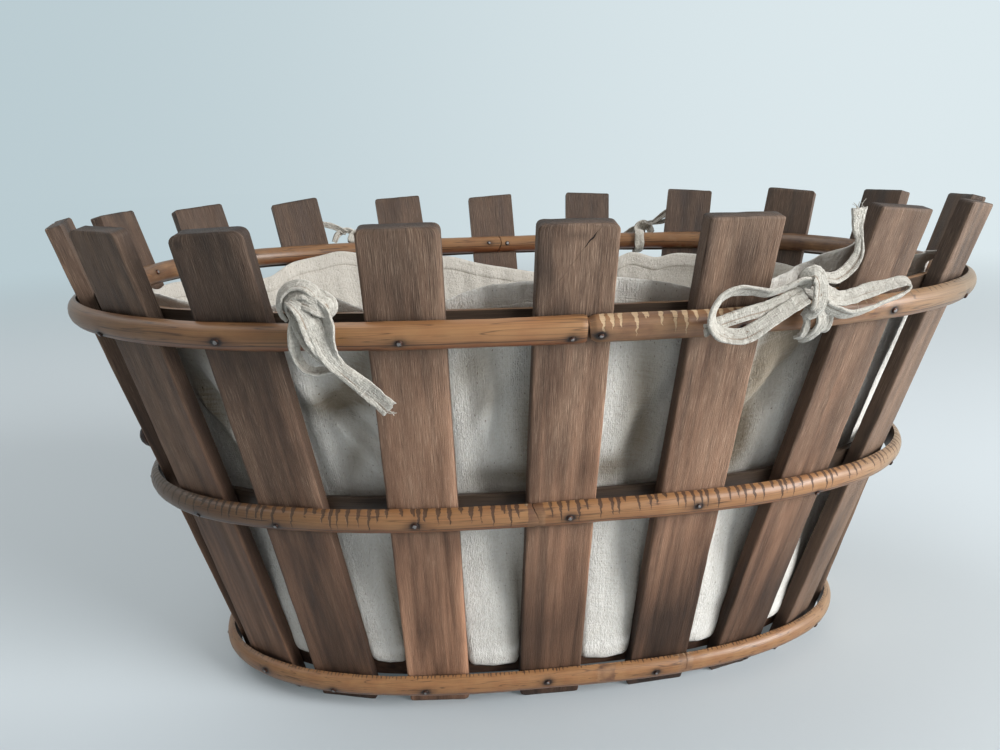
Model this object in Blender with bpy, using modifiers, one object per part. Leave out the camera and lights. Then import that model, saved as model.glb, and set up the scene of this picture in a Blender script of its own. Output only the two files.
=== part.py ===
"""An oval wooden harvest basket with a tied linen liner, modelled as its separate pieces.

The front faces -Y, the long way lies along X, and the feet stand on z = 0.

The wall is one flared surface, which the outsides of the three outer hoops lie on. At each height it is an oval,
and a place on it is named by how far along that oval it is, going right from the middle of the front.
"""

import math
from functools import lru_cache

import bmesh
import bpy
import numpy as np
from mathutils import Matrix, Vector

MM = 0.001
CLEARANCE = 0.3 * MM

# The wall, over the hoops
RIM_LENGTH = 580 * MM
RIM_WIDTH = 358 * MM
FOOT_LENGTH = 454.6 * MM
FOOT_WIDTH = 238 * MM
OVAL_POWER = 2.53

# The hoops are split rods with their flat side on the slats, and a rise is how far one climbs from front to back
RIM_HOOP_Z = 258 * MM
MIDDLE_HOOP_Z = 142.5 * MM
FOOT_HOOP_Z = 15.2 * MM
RIM_HOOP_RISE = 8 * MM
MIDDLE_HOOP_RISE = -5 * MM
HOOP_HEIGHT = 14.5 * MM
HOOP_DEPTH = 7 * MM
INNER_HOOP_HEIGHT = 14 * MM
INNER_HOOP_DEPTH = 7 * MM
HOOP_END_GAP = 0.6 * MM
RIM_JOINT = 0 * MM
MIDDLE_JOINT = -24 * MM
FOOT_JOINT = 82 * MM
INNER_RIM_JOINT = 781 * MM
INNER_MIDDLE_JOINT = 690 * MM
HOOP_STATIONS = 96
HOOP_ARC_STEPS = 6
OUTER_HOOPS = {
    "outer_hoop_rim": (RIM_HOOP_Z, RIM_HOOP_RISE, RIM_JOINT),
    "outer_hoop_middle": (MIDDLE_HOOP_Z, MIDDLE_HOOP_RISE, MIDDLE_JOINT),
    "outer_hoop_foot": (FOOT_HOOP_Z, 0.0, FOOT_JOINT),
}
INNER_HOOPS = {
    "inner_hoop_rim": (RIM_HOOP_Z, RIM_HOOP_RISE, INNER_RIM_JOINT),
    "inner_hoop_middle": (MIDDLE_HOOP_Z, MIDDLE_HOOP_RISE, INNER_MIDDLE_JOINT),
}

# The slats
SLAT_WIDTH = 39 * MM
SLAT_THICKNESS = 9 * MM
SLAT_TOP_Z = 308 * MM
SLAT_CORNER = 4 * MM
SLAT_WORN_EDGE = 1.6 * MM
# How many millimetres each slat was nailed from its even place, at the rim and at the foot
RIM_STRAY = (-3, -9, -5, -10, -9, -2, 1, 3, 7, 7, 2, 3, 0, 2, 9, 15, -1, 1)
FOOT_STRAY = (-6, 2, 0, -4, -4, -4, -4, -4, -3, -3, -2, -3, -4, -5, -6, -7, -13, -14)

# The floor boards
FLOOR_TOP_Z = 28 * MM
FLOOR_THICKNESS = 12 * MM
FLOOR_BOARDS = 3
FLOOR_GAP = 1.2 * MM
FLOOR_STATIONS = 60

# The rivets that once held the end handles, and the slats that they go through
RIVET_SLATS = {"rivet_right": "slat_05", "rivet_left": "slat_15"}
RIVET_Z = 171 * MM
RIVET_HEAD_RADIUS = 8 * MM
RIVET_HEAD_HEIGHT = 6 * MM
RIVET_SHANK_RADIUS = 2.6 * MM
RIVET_TAIL_RADIUS = 5 * MM
RIVET_TAIL_HEIGHT = 2 * MM
RIVET_STEPS = 20
RIVET_DOME_POINTS = 5

# The linen bag, sewn from a bottom and two wall panels, with room for the tapes between it and the inner hoops
LINER_TOP_Z = 259 * MM
LINER_THICKNESS = 1.2 * MM
LINER_EASE = 3 * MM
LINER_CORNER = 16 * MM
LINER_STATIONS = 56
LINER_ROWS = 4
LINER_CORNER_ROWS = 3
# Each panel's first and last station, counted to the right from the middle of the front
LINER_PANELS = {"liner_front_panel": (-23, 8), "liner_back_panel": (8, 33)}

# The tapes that tie the bag to both rim hoops
TAPE_WIDTH = 9 * MM
TAPE_THICKNESS = 1.4 * MM
TAPE_EASE = 0.5 * MM
BAND_CORNER = 3 * MM
TAIL_DIAMETER = 6 * MM
TAIL_POINT_SPACING = 10 * MM
TIE_FROM_MIDDLE = 127 * MM
# The side that it is on, the way it lies from the middle, the knot's sizes along, out and up, whether the knot
# sits over the hoops or in front of them, and how far along and up it has slipped, all in millimetres
TIES = {
    "tie_front_left": ("front", "left", (22, 15, 18), "over", (-8, 0)),
    "tie_front_right": ("front", "right", (14, 14, 26), "before", (-10, 14)),
    "tie_back_right": ("back", "right", (16, 12, 12), "over", (-6, 0)),
    "tie_back_left": ("back", "left", (16, 12, 12), "over", (2, 0)),
}
# Routes in millimetres: along the hoop, out from it and up
TAILS = {
    "tie_front_left_tail": (
        "tie_front_left",
        [(-1, 9, 14), (3, 7, 5), (7, 5.5, -5), (14, 4, -16), (24, 3.5, -27), (34, 3, -36)],
    ),
    "tie_front_right_loop_left": (
        "tie_front_right",
        [(-19, 9, 20), (-30, 8, 16), (-42, 7, 16), (-55, 7, 19), (-65, 7.5, 12), (-62, 8, 1), (-50, 8, -3),
         (-36, 8, 4), (-26, 8.5, 8), (-19, 9, 11)],
    ),
    "tie_front_right_loop_right": (
        "tie_front_right",
        [(-1.5, 10, 15), (8, 9, 11.5), (20, 8, 14), (34, 7.5, 19), (46, 7.5, 21), (49, 7.5, 14), (38, 7.5, 8),
         (26, 8, 4), (12, 9, 1.5), (0, 10, 4)],
    ),
    "tie_front_right_tail": (
        "tie_front_right",
        [(-5, 7, 29), (3, 5, 30), (10, 4, 34), (14, 4, 41), (12, 5, 49), (8, 6, 57)],
    ),
    "tie_back_right_loop": (
        "tie_back_right",
        [(-16, 2, 19), (-26, 3, 25), (-37, 4, 31), (-47, 5, 35)],
    ),
    "tie_back_left_loop": (
        "tie_back_left",
        [(11, 1, 18), (20, 2, 23), (30, 3, 26), (41, 4, 26)],
    ),
}


def oval(half_length, half_width, turn):
    """A point of an oval at a turn, and the direction that its outside faces there."""
    c, s = math.cos(turn), math.sin(turn)
    point = Vector((
        math.copysign(half_length * abs(c) ** (2 / OVAL_POWER), c),
        math.copysign(half_width * abs(s) ** (2 / OVAL_POWER), s),
        0.0,
    ))
    facing = math.atan2(
        math.copysign(abs(s) ** (2 - 2 / OVAL_POWER) / half_width, s),
        math.copysign(abs(c) ** (2 - 2 / OVAL_POWER) / half_length, c),
    )
    return point, facing


def halves(height):
    """The wall's half length and half width at a height."""
    share = (height - FOOT_HOOP_Z) / (RIM_HOOP_Z - FOOT_HOOP_Z)
    return (
        (FOOT_LENGTH + share * (RIM_LENGTH - FOOT_LENGTH)) / 2,
        (FOOT_WIDTH + share * (RIM_WIDTH - FOOT_WIDTH)) / 2,
    )


@lru_cache(maxsize=None)
def ruler(height):
    """The wall's oval at a height as turns from the front's middle, with the distance along it at each."""
    turns = np.linspace(-math.pi / 2, 1.5 * math.pi, 4001)
    points = np.array([oval(*halves(height), turn)[0] for turn in turns])
    steps = np.linalg.norm(np.diff(points, axis=0), axis=1)
    return turns, np.concatenate([[0.0], np.cumsum(steps)])


def girth(height):
    """The length round the wall at a height."""
    return ruler(height)[1][-1]


def support(height, facing):
    """How far from the basket's middle line the wall's tangent plane lies that faces this way."""
    a, b = halves(height)
    power = OVAL_POWER / (OVAL_POWER - 1)
    return (abs(a * math.cos(facing)) ** power + abs(b * math.sin(facing)) ** power) ** (1 / power)


def wall_frame(height, along):
    """The wall's place there, with its directions along the hoop, square out of the wall, and up the wall."""
    turns, distances = ruler(height)
    turn = float(np.interp(along % distances[-1], distances, turns))
    point, facing = oval(*halves(height), turn)
    flare = support(RIM_HOOP_Z, facing) - support(FOOT_HOOP_Z, facing)
    lean = math.atan2(flare, RIM_HOOP_Z - FOOT_HOOP_Z)
    level = Vector((math.cos(facing), math.sin(facing), 0.0))
    out = level * math.cos(lean) - Vector((0, 0, math.sin(lean)))
    up = level * math.sin(lean) + Vector((0, 0, math.cos(lean)))
    point.z = height
    return point, up.cross(out), out, up


def raised(frame, rise):
    """A frame moved along the wall until it is this much higher."""
    point, side, out, up = frame
    return point + up * (rise / up.z), side, out, up


def climbed(frame, rise):
    """A frame on a hoop that climbs from the front to the back."""
    return raised(frame, rise * frame[0].y / RIM_WIDTH)


def hoop_frame(height, rise, along):
    """The wall's frame at a place on such a hoop."""
    return climbed(wall_frame(height, along), rise)


@lru_cache(maxsize=None)
def hoop_back(height, rise, joint):
    """The frames along the flat back of an outer hoop, from one of its ends to the other."""
    long = girth(height) - HOOP_END_GAP
    places = []
    for i in range(HOOP_STATIONS + 1):
        point, side, out, up = hoop_frame(height, rise, joint + HOOP_END_GAP / 2 + long * i / HOOP_STATIONS)
        places.append((point - out * HOOP_DEPTH, side, out, up))
    return tuple(places)


def fall_behind(frames, origin, side, out):
    """How far a bent line falls behind a flat face that it runs over, at worst, over a slat's width."""
    near = [frame[0] - origin for frame in frames if frame[2].dot(out) > 0.5]
    near.sort(key=side.dot)
    across = [step.dot(side) for step in near]
    behind = [-step.dot(out) for step in near]
    return float(max(np.interp([-SLAT_WIDTH / 2, 0.0, SLAT_WIDTH / 2], across, behind)))


@lru_cache(maxsize=None)
def slat_frame(index):
    """A slat's outer face: its middle at z = 0, with its directions across, out and up, seated on the hoops."""
    along_rim = girth(RIM_HOOP_Z) * index / len(RIM_STRAY) + RIM_STRAY[index] * MM
    along_foot = girth(FOOT_HOOP_Z) * index / len(RIM_STRAY) + FOOT_STRAY[index] * MM
    rim, _, rim_out, _ = hoop_frame(RIM_HOOP_Z, RIM_HOOP_RISE, along_rim)
    foot, _, foot_out, _ = wall_frame(FOOT_HOOP_Z, along_foot)
    up = (rim - foot).normalized()
    side = up.cross(rim_out + foot_out).normalized()
    out = side.cross(up)
    rim -= out * (fall_behind(hoop_back(*OUTER_HOOPS["outer_hoop_rim"]), rim, side, out) + CLEARANCE)
    foot -= out * (fall_behind(hoop_back(*OUTER_HOOPS["outer_hoop_foot"]), foot, side, out) + CLEARANCE)
    up = (rim - foot).normalized()
    side = up.cross(out).normalized()
    out = side.cross(up)
    middle = fall_behind(hoop_back(*OUTER_HOOPS["outer_hoop_middle"]), foot, side, out) + CLEARANCE
    foot -= out * max(0.0, middle)
    return foot - up * (foot.z / up.z), side, out, up


@lru_cache(maxsize=None)
def inset_knots(height):
    """Where the slats are along the wall at a height, and how deep in a line inside them has to run there."""
    distances = np.linspace(0, girth(height), 1440, endpoint=False)
    frames = [wall_frame(height, along) for along in distances]
    points = np.array([frame[0] for frame in frames])
    outs = np.array([frame[2] for frame in frames])
    knots = []
    for index in range(len(RIM_STRAY)):
        origin, side, out, _ = slat_frame(index)
        inner = np.array(origin - out * SLAT_THICKNESS)
        across = (points - inner) @ np.array(side)
        beyond = (points - inner) @ np.array(out)
        over = (np.abs(across) < SLAT_WIDTH / 2) & (outs @ np.array(out) > 0.5)
        middle = distances[over][np.argmin(np.abs(across[over]))]
        reach = float((beyond[over] / (outs[over] @ np.array(out))).max())
        knots += [(middle - SLAT_WIDTH / 2, reach), (middle + SLAT_WIDTH / 2, reach)]
    knots.sort()
    return tuple(zip(*knots, strict=True))


def inside(height, along, gap):
    """A frame on the line that runs inside the slats at a gap from them."""
    long = girth(height)
    places, depths = inset_knots(height)
    depth = float(np.interp(along % long, places, depths, period=long)) + gap
    point, side, out, up = wall_frame(height, along)
    return point - out * depth, side, out, up


def inside_level(height, along, gap):
    """The place on such a line that is exactly at the height."""
    frame = inside(height, along, gap)
    return raised(frame, height - frame[0].z)[0]


def material(name, colour, roughness, metallic=0.0):
    """A plain Principled finish."""
    made = bpy.data.materials.new(name)
    made.use_nodes = True
    shader = made.node_tree.nodes["Principled BSDF"]
    shader.inputs["Base Color"].default_value = (*colour, 1.0)
    shader.inputs["Roughness"].default_value = roughness
    shader.inputs["Metallic"].default_value = metallic
    return made


def add(name, data, collection, finish, matrix=None):
    """An object of a mesh or curve in a collection, in a finish."""
    made = bpy.data.objects.new(name, data)
    if matrix is not None:
        made.matrix_world = matrix
    data.materials.append(finish)
    collection.objects.link(made)
    return made


def finished_mesh(name, work, smooth_under=35):
    """A mesh from a bmesh, with its round faces shaded smooth."""
    bmesh.ops.recalc_face_normals(work, faces=work.faces)
    mesh = bpy.data.meshes.new(name)
    work.to_mesh(mesh)
    work.free()
    mesh.shade_smooth()
    mesh.set_sharp_from_angle(angle=math.radians(smooth_under))
    return mesh


def guide_curve(name, points, collection):
    """A closed outline that a curve is swept with."""
    curve = bpy.data.curves.new(name, "CURVE")
    curve.dimensions = "2D"
    spline = curve.splines.new("POLY")
    spline.points.add(len(points) - 1)
    for point, (x, y) in zip(spline.points, points, strict=True):
        point.co = (x, y, 0, 1)
    spline.use_cyclic_u = True
    made = bpy.data.objects.new(name, curve)
    made.hide_render = True
    made.display_type = "WIRE"
    collection.objects.link(made)
    return made


def half_round(depth, height):
    """The outline of a split rod: a flat back on x = 0, and a round side that reaches out to its depth."""
    angles = [math.pi * (i / HOOP_ARC_STEPS - 0.5) for i in range(HOOP_ARC_STEPS + 1)]
    return [(depth * math.cos(a), height / 2 * math.sin(a)) for a in angles]


def make_hoop(name, frames, profile, collection, finish):
    """A rod bent round the basket, its section turned to lean with the wall."""
    curve = bpy.data.curves.new(name, "CURVE")
    curve.dimensions = "3D"
    curve.twist_mode = "Z_UP"
    curve.bevel_mode = "OBJECT"
    curve.bevel_object = profile
    curve.use_fill_caps = True
    spline = curve.splines.new("POLY")
    spline.points.add(len(frames) - 1)
    for point, (place, _, out, _) in zip(spline.points, frames, strict=True):
        point.co = (*place, 1)
        point.tilt = -math.asin(out.z)
    return add(name, curve, collection, finish)


def make_hoops(parts, guides, finish):
    """The three outer hoops and the two inner ones."""
    outer = guide_curve("outer_hoop_outline", half_round(HOOP_DEPTH, HOOP_HEIGHT)[::-1], guides)
    turned = [(-x, y) for x, y in half_round(INNER_HOOP_DEPTH, INNER_HOOP_HEIGHT)]
    inner = guide_curve("inner_hoop_outline", turned, guides)
    for name, place in OUTER_HOOPS.items():
        make_hoop(name, hoop_back(*place), outer, parts, finish)
    for name, (height, rise, joint) in INNER_HOOPS.items():
        long = girth(height) - HOOP_END_GAP
        places = [joint + HOOP_END_GAP / 2 + long * i / HOOP_STATIONS for i in range(HOOP_STATIONS + 1)]
        frames = [climbed(inside(height, along, CLEARANCE), rise) for along in places]
        make_hoop(name, frames, inner, parts, finish)


def make_slat(name, index, collection, finish):
    """A board with round upper corners, worn front edges and a foot sawn level."""
    origin, side, out, up = slat_frame(index)
    place = Matrix((side, -out, up)).transposed().to_4x4()
    place.translation = origin
    foot_slope = SLAT_THICKNESS
    long = SLAT_TOP_Z / up.z + foot_slope
    work = bmesh.new()
    bmesh.ops.create_cube(work, size=1.0)
    bmesh.ops.scale(work, vec=(SLAT_WIDTH, SLAT_THICKNESS, long), verts=work.verts)
    bmesh.ops.translate(work, vec=(0, SLAT_THICKNESS / 2, long / 2 - foot_slope), verts=work.verts)
    corners = [
        e for e in work.edges if all(v.co.z > 0 for v in e.verts) and abs(e.verts[0].co.x - e.verts[1].co.x) < MM
    ]
    bmesh.ops.bevel(
        work, geom=corners, offset=SLAT_CORNER, affect="EDGES", segments=3, profile=0.5, material=-1
    )
    front = [e for e in work.edges if all(v.co.y < SLAT_THICKNESS / 4 for v in e.verts)]
    worn = [e for e in front if any(v.co.z > 0 for v in e.verts)]
    bmesh.ops.bevel(
        work, geom=worn, offset=SLAT_WORN_EDGE, affect="EDGES", segments=2, profile=0.5, material=-1
    )
    ground = place.inverted()
    cut = bmesh.ops.bisect_plane(
        work,
        geom=work.verts[:] + work.edges[:] + work.faces[:],
        plane_co=ground @ Vector((origin.x, origin.y, 0)),
        plane_no=ground.to_3x3() @ Vector((0, 0, 1)),
        clear_inner=True,
    )
    bmesh.ops.contextual_create(work, geom=[g for g in cut["geom_cut"] if isinstance(g, bmesh.types.BMEdge)])
    return add(name, finished_mesh(name, work), collection, finish, place)


def make_slats(parts, finish):
    """All the slats by name, numbered to the right from the middle of the front."""
    names = [f"slat_{index + 1:02d}" for index in range(len(RIM_STRAY))]
    return {name: make_slat(name, index, parts, finish) for index, name in enumerate(names)}


def rivet_profile():
    """Half of a rivet, from the top of its domed head down its outside to its clenched tail."""
    radius = (RIVET_HEAD_RADIUS**2 + RIVET_HEAD_HEIGHT**2) / (2 * RIVET_HEAD_HEIGHT)
    widest = math.asin(RIVET_HEAD_RADIUS / radius)
    if RIVET_HEAD_HEIGHT > radius:
        widest = math.pi - widest
    seat = CLEARANCE
    dome = []
    for i in range(RIVET_DOME_POINTS):
        angle = widest * i / (RIVET_DOME_POINTS - 1)
        dome.append((radius * math.sin(angle), seat + RIVET_HEAD_HEIGHT - radius * (1 - math.cos(angle))))
    tail = -SLAT_THICKNESS - CLEARANCE
    return dome + [
        (RIVET_SHANK_RADIUS, seat),
        (RIVET_SHANK_RADIUS, tail),
        (RIVET_TAIL_RADIUS, tail),
        (RIVET_TAIL_RADIUS, tail - RIVET_TAIL_HEIGHT / 2),
        (RIVET_TAIL_RADIUS / 2, tail - RIVET_TAIL_HEIGHT),
        (0.0, tail - RIVET_TAIL_HEIGHT),
    ]


def make_rivet(name, slat, parts, guides, finish):
    """A rivet through a slat, and the hole that it goes through."""
    across, inward, up, origin = (column.to_3d() for column in slat.matrix_world.col)
    side, out = across, -inward
    place = Matrix((up, side, out)).transposed().to_4x4()
    place.translation = origin + up * (RIVET_Z / up.z)
    profile = bpy.data.meshes.new(name)
    points = rivet_profile()
    profile.from_pydata([(x, 0, z) for x, z in points], [(i, i + 1) for i in range(len(points) - 1)], [])
    rivet = add(name, profile, parts, finish, place)
    turn = rivet.modifiers.new("turned", "SCREW")
    turn.steps = turn.render_steps = RIVET_STEPS
    turn.use_merge_vertices = True
    turn.merge_threshold = 1e-6
    turn.use_smooth_shade = True
    drill = bmesh.new()
    bmesh.ops.create_cone(
        drill, cap_ends=True, segments=RIVET_STEPS, radius1=RIVET_SHANK_RADIUS + CLEARANCE,
        radius2=RIVET_SHANK_RADIUS + CLEARANCE, depth=3 * SLAT_THICKNESS,
    )
    mesh = bpy.data.meshes.new(name + "_hole")
    drill.to_mesh(mesh)
    drill.free()
    cutter = bpy.data.objects.new(name + "_hole", mesh)
    cutter.matrix_world = place
    cutter.hide_render = True
    cutter.display_type = "WIRE"
    guides.objects.link(cutter)
    hole = slat.modifiers.new("rivet hole", "BOOLEAN")
    hole.operation = "DIFFERENCE"
    hole.object = cutter


def make_floor(parts, finish):
    """Boards laid the long way, sawn to the oval inside the slats with edges that lean as the wall does."""
    low = FLOOR_TOP_Z - FLOOR_THICKNESS
    outlines = []
    for height in (low, FLOOR_TOP_Z):
        places = [girth(height) * i / FLOOR_STATIONS for i in range(FLOOR_STATIONS)]
        outlines.append([inside_level(height, along, CLEARANCE) for along in places])
    board_width = 2 * max(p.y for p in outlines[0]) / FLOOR_BOARDS
    for board in range(FLOOR_BOARDS):
        work = bmesh.new()
        ring = bmesh.ops.create_circle(work, cap_ends=True, segments=FLOOR_STATIONS, radius=1.0)["verts"]
        for vert, place in zip(ring, outlines[0], strict=True):
            vert.co = place
        upper = bmesh.ops.extrude_face_region(work, geom=work.faces[:])["geom"]
        for vert in [g for g in upper if isinstance(g, bmesh.types.BMVert)]:
            nearest = min(range(FLOOR_STATIONS), key=lambda i: (outlines[0][i] - vert.co).length)
            vert.co = outlines[1][nearest]
        middle = board_width * (board - (FLOOR_BOARDS - 1) / 2)
        for way in (-1, 1):
            edge_of_floor = way > 0 and board == FLOOR_BOARDS - 1 or way < 0 and board == 0
            if edge_of_floor:
                continue
            cut = bmesh.ops.bisect_plane(
                work,
                geom=work.verts[:] + work.edges[:] + work.faces[:],
                plane_co=(0, middle + way * (board_width - FLOOR_GAP) / 2, 0),
                plane_no=(0, way, 0),
                clear_outer=True,
            )
            bmesh.ops.contextual_create(
                work, geom=[g for g in cut["geom_cut"] if isinstance(g, bmesh.types.BMEdge)]
            )
        add(f"floor_board_{board + 1}", finished_mesh("floor_board", work), parts, finish)


def liner_rows():
    """The heights of the bag's rows, from the edge of its flat bottom up, and how far each is drawn in."""
    low = FLOOR_TOP_Z + CLEARANCE
    rows = []
    for i in range(LINER_CORNER_ROWS + 1):
        angle = math.pi / 2 * i / LINER_CORNER_ROWS
        rows.append((low + LINER_CORNER * (1 - math.cos(angle)), LINER_CORNER * (1 - math.sin(angle))))
    for i in range(1, LINER_ROWS):
        rows.append((low + LINER_CORNER + i / (LINER_ROWS - 1) * (LINER_TOP_Z - low - LINER_CORNER), 0.0))
    return rows


def liner_point(height, drawn_in, along):
    """A place on the bag's outside."""
    return inside_level(height, along, CLEARANCE + INNER_HOOP_DEPTH + LINER_EASE + drawn_in)


def as_cloth(piece, offset):
    """Gives a sheet the cloth's thickness, on one side of it."""
    wall = piece.modifiers.new("cloth", "SOLIDIFY")
    wall.thickness = LINER_THICKNESS
    wall.offset = offset


def make_liner_bottom(parts, finish):
    """The flat oval that lies on the floor boards."""
    height, drawn_in = liner_rows()[0]
    work = bmesh.new()
    ring = bmesh.ops.create_circle(work, cap_ends=True, segments=LINER_STATIONS, radius=1.0)["verts"]
    for i, vert in enumerate(ring):
        vert.co = liner_point(height, drawn_in + CLEARANCE, girth(height) * i / LINER_STATIONS)
    bottom = add("liner_bottom", finished_mesh("liner_bottom", work), parts, finish)
    facing_up = bottom.data.polygons[0].normal.z > 0
    as_cloth(bottom, 1 if facing_up else -1)


def make_liner_panel(name, start, end, parts, finish):
    """A wall panel from one seam to the other, with a round lower edge."""
    rows = liner_rows()
    work = bmesh.new()
    bmesh.ops.create_grid(work, x_segments=end - start, y_segments=len(rows) - 1, size=0.5)
    for vert in work.verts:
        height, drawn_in = rows[round((vert.co.y + 0.5) * (len(rows) - 1))]
        first, last = (girth(height) * station / LINER_STATIONS for station in (start, end))
        seam = CLEARANCE / 2
        along = first + seam + (vert.co.x + 0.5) * (last - first - 2 * seam)
        vert.co = liner_point(height, drawn_in, along)
    mesh = finished_mesh(name, work, 60)
    panel = add(name, mesh, parts, finish)
    face = mesh.polygons[0]
    facing_out = face.normal.xy.dot(face.center.xy) > 0 or face.normal.z < 0
    as_cloth(panel, -1 if facing_out else 1)


def tie_place(name):
    """Where a tie goes round the rim: the outer hoop's outside there, and its directions along, out and up."""
    front_or_back, left_or_right, _, _, _ = TIES[name]
    if front_or_back == "front":
        along = TIE_FROM_MIDDLE if left_or_right == "right" else -TIE_FROM_MIDDLE
    else:
        middle = girth(RIM_HOOP_Z) / 2
        along = middle - TIE_FROM_MIDDLE if left_or_right == "right" else middle + TIE_FROM_MIDDLE
    return hoop_frame(RIM_HOOP_Z, RIM_HOOP_RISE, along), along


def make_band(name, parts, guides, finish):
    """A tape that goes once round the outer and the inner rim hoop, between two slats."""
    (point, side, out, up), along = tie_place(name)
    within = climbed(inside(RIM_HOOP_Z, along, CLEARANCE + INNER_HOOP_DEPTH), RIM_HOOP_RISE)[0]
    half_deep = ((point - within).dot(out) + TAPE_THICKNESS) / 2 + TAPE_EASE
    half_tall = (HOOP_HEIGHT + TAPE_THICKNESS) / 2 + TAPE_EASE
    outline = []
    for corner in range(4):
        for step in range(3):
            angle = math.pi / 2 * (corner + step / 2)
            x = math.copysign(half_deep - BAND_CORNER, math.cos(math.pi / 2 * (corner + 0.5)))
            y = math.copysign(half_tall - BAND_CORNER, math.sin(math.pi / 2 * (corner + 0.5)))
            outline.append((x + BAND_CORNER * math.cos(angle), y + BAND_CORNER * math.sin(angle)))
    curve = bpy.data.curves.new(name, "CURVE")
    curve.dimensions = "2D"
    curve.fill_mode = "NONE"
    curve.bevel_mode = "OBJECT"
    flat = [
        (x * TAPE_THICKNESS / 2, y * TAPE_WIDTH / 2)
        for x, y in ((-1, 0.8), (0, 1), (1, 0.8), (1, -0.8), (0, -1), (-1, -0.8))
    ]
    curve.bevel_object = guide_curve(name + "_outline", flat, guides)
    spline = curve.splines.new("POLY")
    spline.points.add(len(outline) - 1)
    for spot, (x, y) in zip(spline.points, outline, strict=True):
        spot.co = (x, y, 0, 1)
    spline.use_cyclic_u = True
    place = Matrix((out, up, out.cross(up))).transposed().to_4x4()
    place.translation = (point + within) / 2
    add(name + "_band", curve, parts, finish, place)


def make_knot(name, parts, finish):
    """The lump of a knot, seated over the hoops or in front of them."""
    (point, side, out, up), _ = tie_place(name)
    _, _, size, seat, (aside, higher) = TIES[name]
    along, deep, tall = (s * MM / 2 for s in size)
    tape = TAPE_EASE + TAPE_THICKNESS + CLEARANCE
    centre = point + side * aside * MM
    if seat == "over":
        centre += up * (HOOP_HEIGHT / 2 + tape + tall) - out * HOOP_DEPTH
    else:
        centre += out * (tape + deep) + up * higher * MM
    work = bmesh.new()
    bmesh.ops.create_uvsphere(work, u_segments=14, v_segments=8, radius=1.0)
    bmesh.ops.scale(work, vec=(along, deep, tall), verts=work.verts)
    place = Matrix((side, -out, up)).transposed().to_4x4()
    place.translation = centre
    add(name + "_knot", finished_mesh(name, work, 80), parts, finish, place)


def smooth_route(points, spacing):
    """Points spread along a smooth curve through a route's own points."""
    ends = [2 * points[0] - points[1], *points, 2 * points[-1] - points[-2]]
    fine = []
    for a, b, c, d in zip(ends, ends[1:], ends[2:], ends[3:]):
        for i in range(12):
            t = i / 12
            fine.append(
                0.5 * (2 * b + (c - a) * t + (2 * a - 5 * b + 4 * c - d) * t**2 + (3 * b - a - 3 * c + d) * t**3)
            )
    fine = np.array([*fine, points[-1]])
    reached = np.concatenate([[0.0], np.cumsum(np.linalg.norm(np.diff(fine, axis=0), axis=1))])
    count = max(4, round(reached[-1] / spacing) + 1)
    stops = np.linspace(0, reached[-1], count)
    return [Vector([np.interp(stop, reached, fine[:, axis]) for axis in range(3)]) for stop in stops]


def make_tail(name, tie, route, parts, finish):
    """A loose end or a bow's loop, as a plain round tape."""
    (point, _, out, _), _ = tie_place(tie)
    level = Vector((out.x, out.y, 0)).normalized()
    along = Vector((0, 0, 1)).cross(level)
    points = [point + (along * x + level * y + Vector((0, 0, z))) * MM for x, y, z in route]
    curve = bpy.data.curves.new(name, "CURVE")
    curve.dimensions = "3D"
    curve.bevel_depth = TAIL_DIAMETER / 2
    curve.bevel_resolution = 2
    curve.use_fill_caps = True
    spots = smooth_route(points, TAIL_POINT_SPACING)
    spline = curve.splines.new("POLY")
    spline.points.add(len(spots) - 1)
    for spot, place in zip(spline.points, spots, strict=True):
        spot.co = (*place, 1)
    add(name, curve, parts, finish)


def main():
    for old in list(bpy.data.objects):
        bpy.data.objects.remove(old, do_unlink=True)
    parts = bpy.data.collections.new("wooden_basket")
    guides = bpy.data.collections.new("guides")
    for collection in (parts, guides):
        bpy.context.scene.collection.children.link(collection)
    slat_wood = material("weathered slat wood", (0.16, 0.09, 0.055), 0.65)
    rod = material("peeled split rod", (0.36, 0.17, 0.07), 0.45)
    board = material("dark floor board", (0.09, 0.05, 0.03), 0.75)
    iron = material("dark forged iron", (0.03, 0.025, 0.022), 0.5, 1.0)
    linen = material("unbleached linen", (0.55, 0.5, 0.42), 0.9)

    slats = make_slats(parts, slat_wood)
    make_hoops(parts, guides, rod)
    make_floor(parts, board)
    for name, slat in RIVET_SLATS.items():
        make_rivet(name, slats[slat], parts, guides, iron)
    make_liner_bottom(parts, linen)
    for name, (start, end) in LINER_PANELS.items():
        make_liner_panel(name, start, end, parts, linen)
    for name in TIES:
        make_band(name, parts, guides, linen)
        make_knot(name, parts, linen)
    for name, (tie, route) in TAILS.items():
        make_tail(name, tie, route, parts, linen)


main()
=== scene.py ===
"""A nailed oval harvest basket with a tied linen bag, as add-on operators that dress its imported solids.

The front faces -Y and the feet stand on z = 0. A place on the wall is named as in the solids: a height, and
how far along the wall's oval it is at that height, going right from the middle of the front.
"""

import math
from functools import lru_cache

import bmesh
import bpy
import numpy as np
from mathutils import Matrix, Vector, noise


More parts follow.
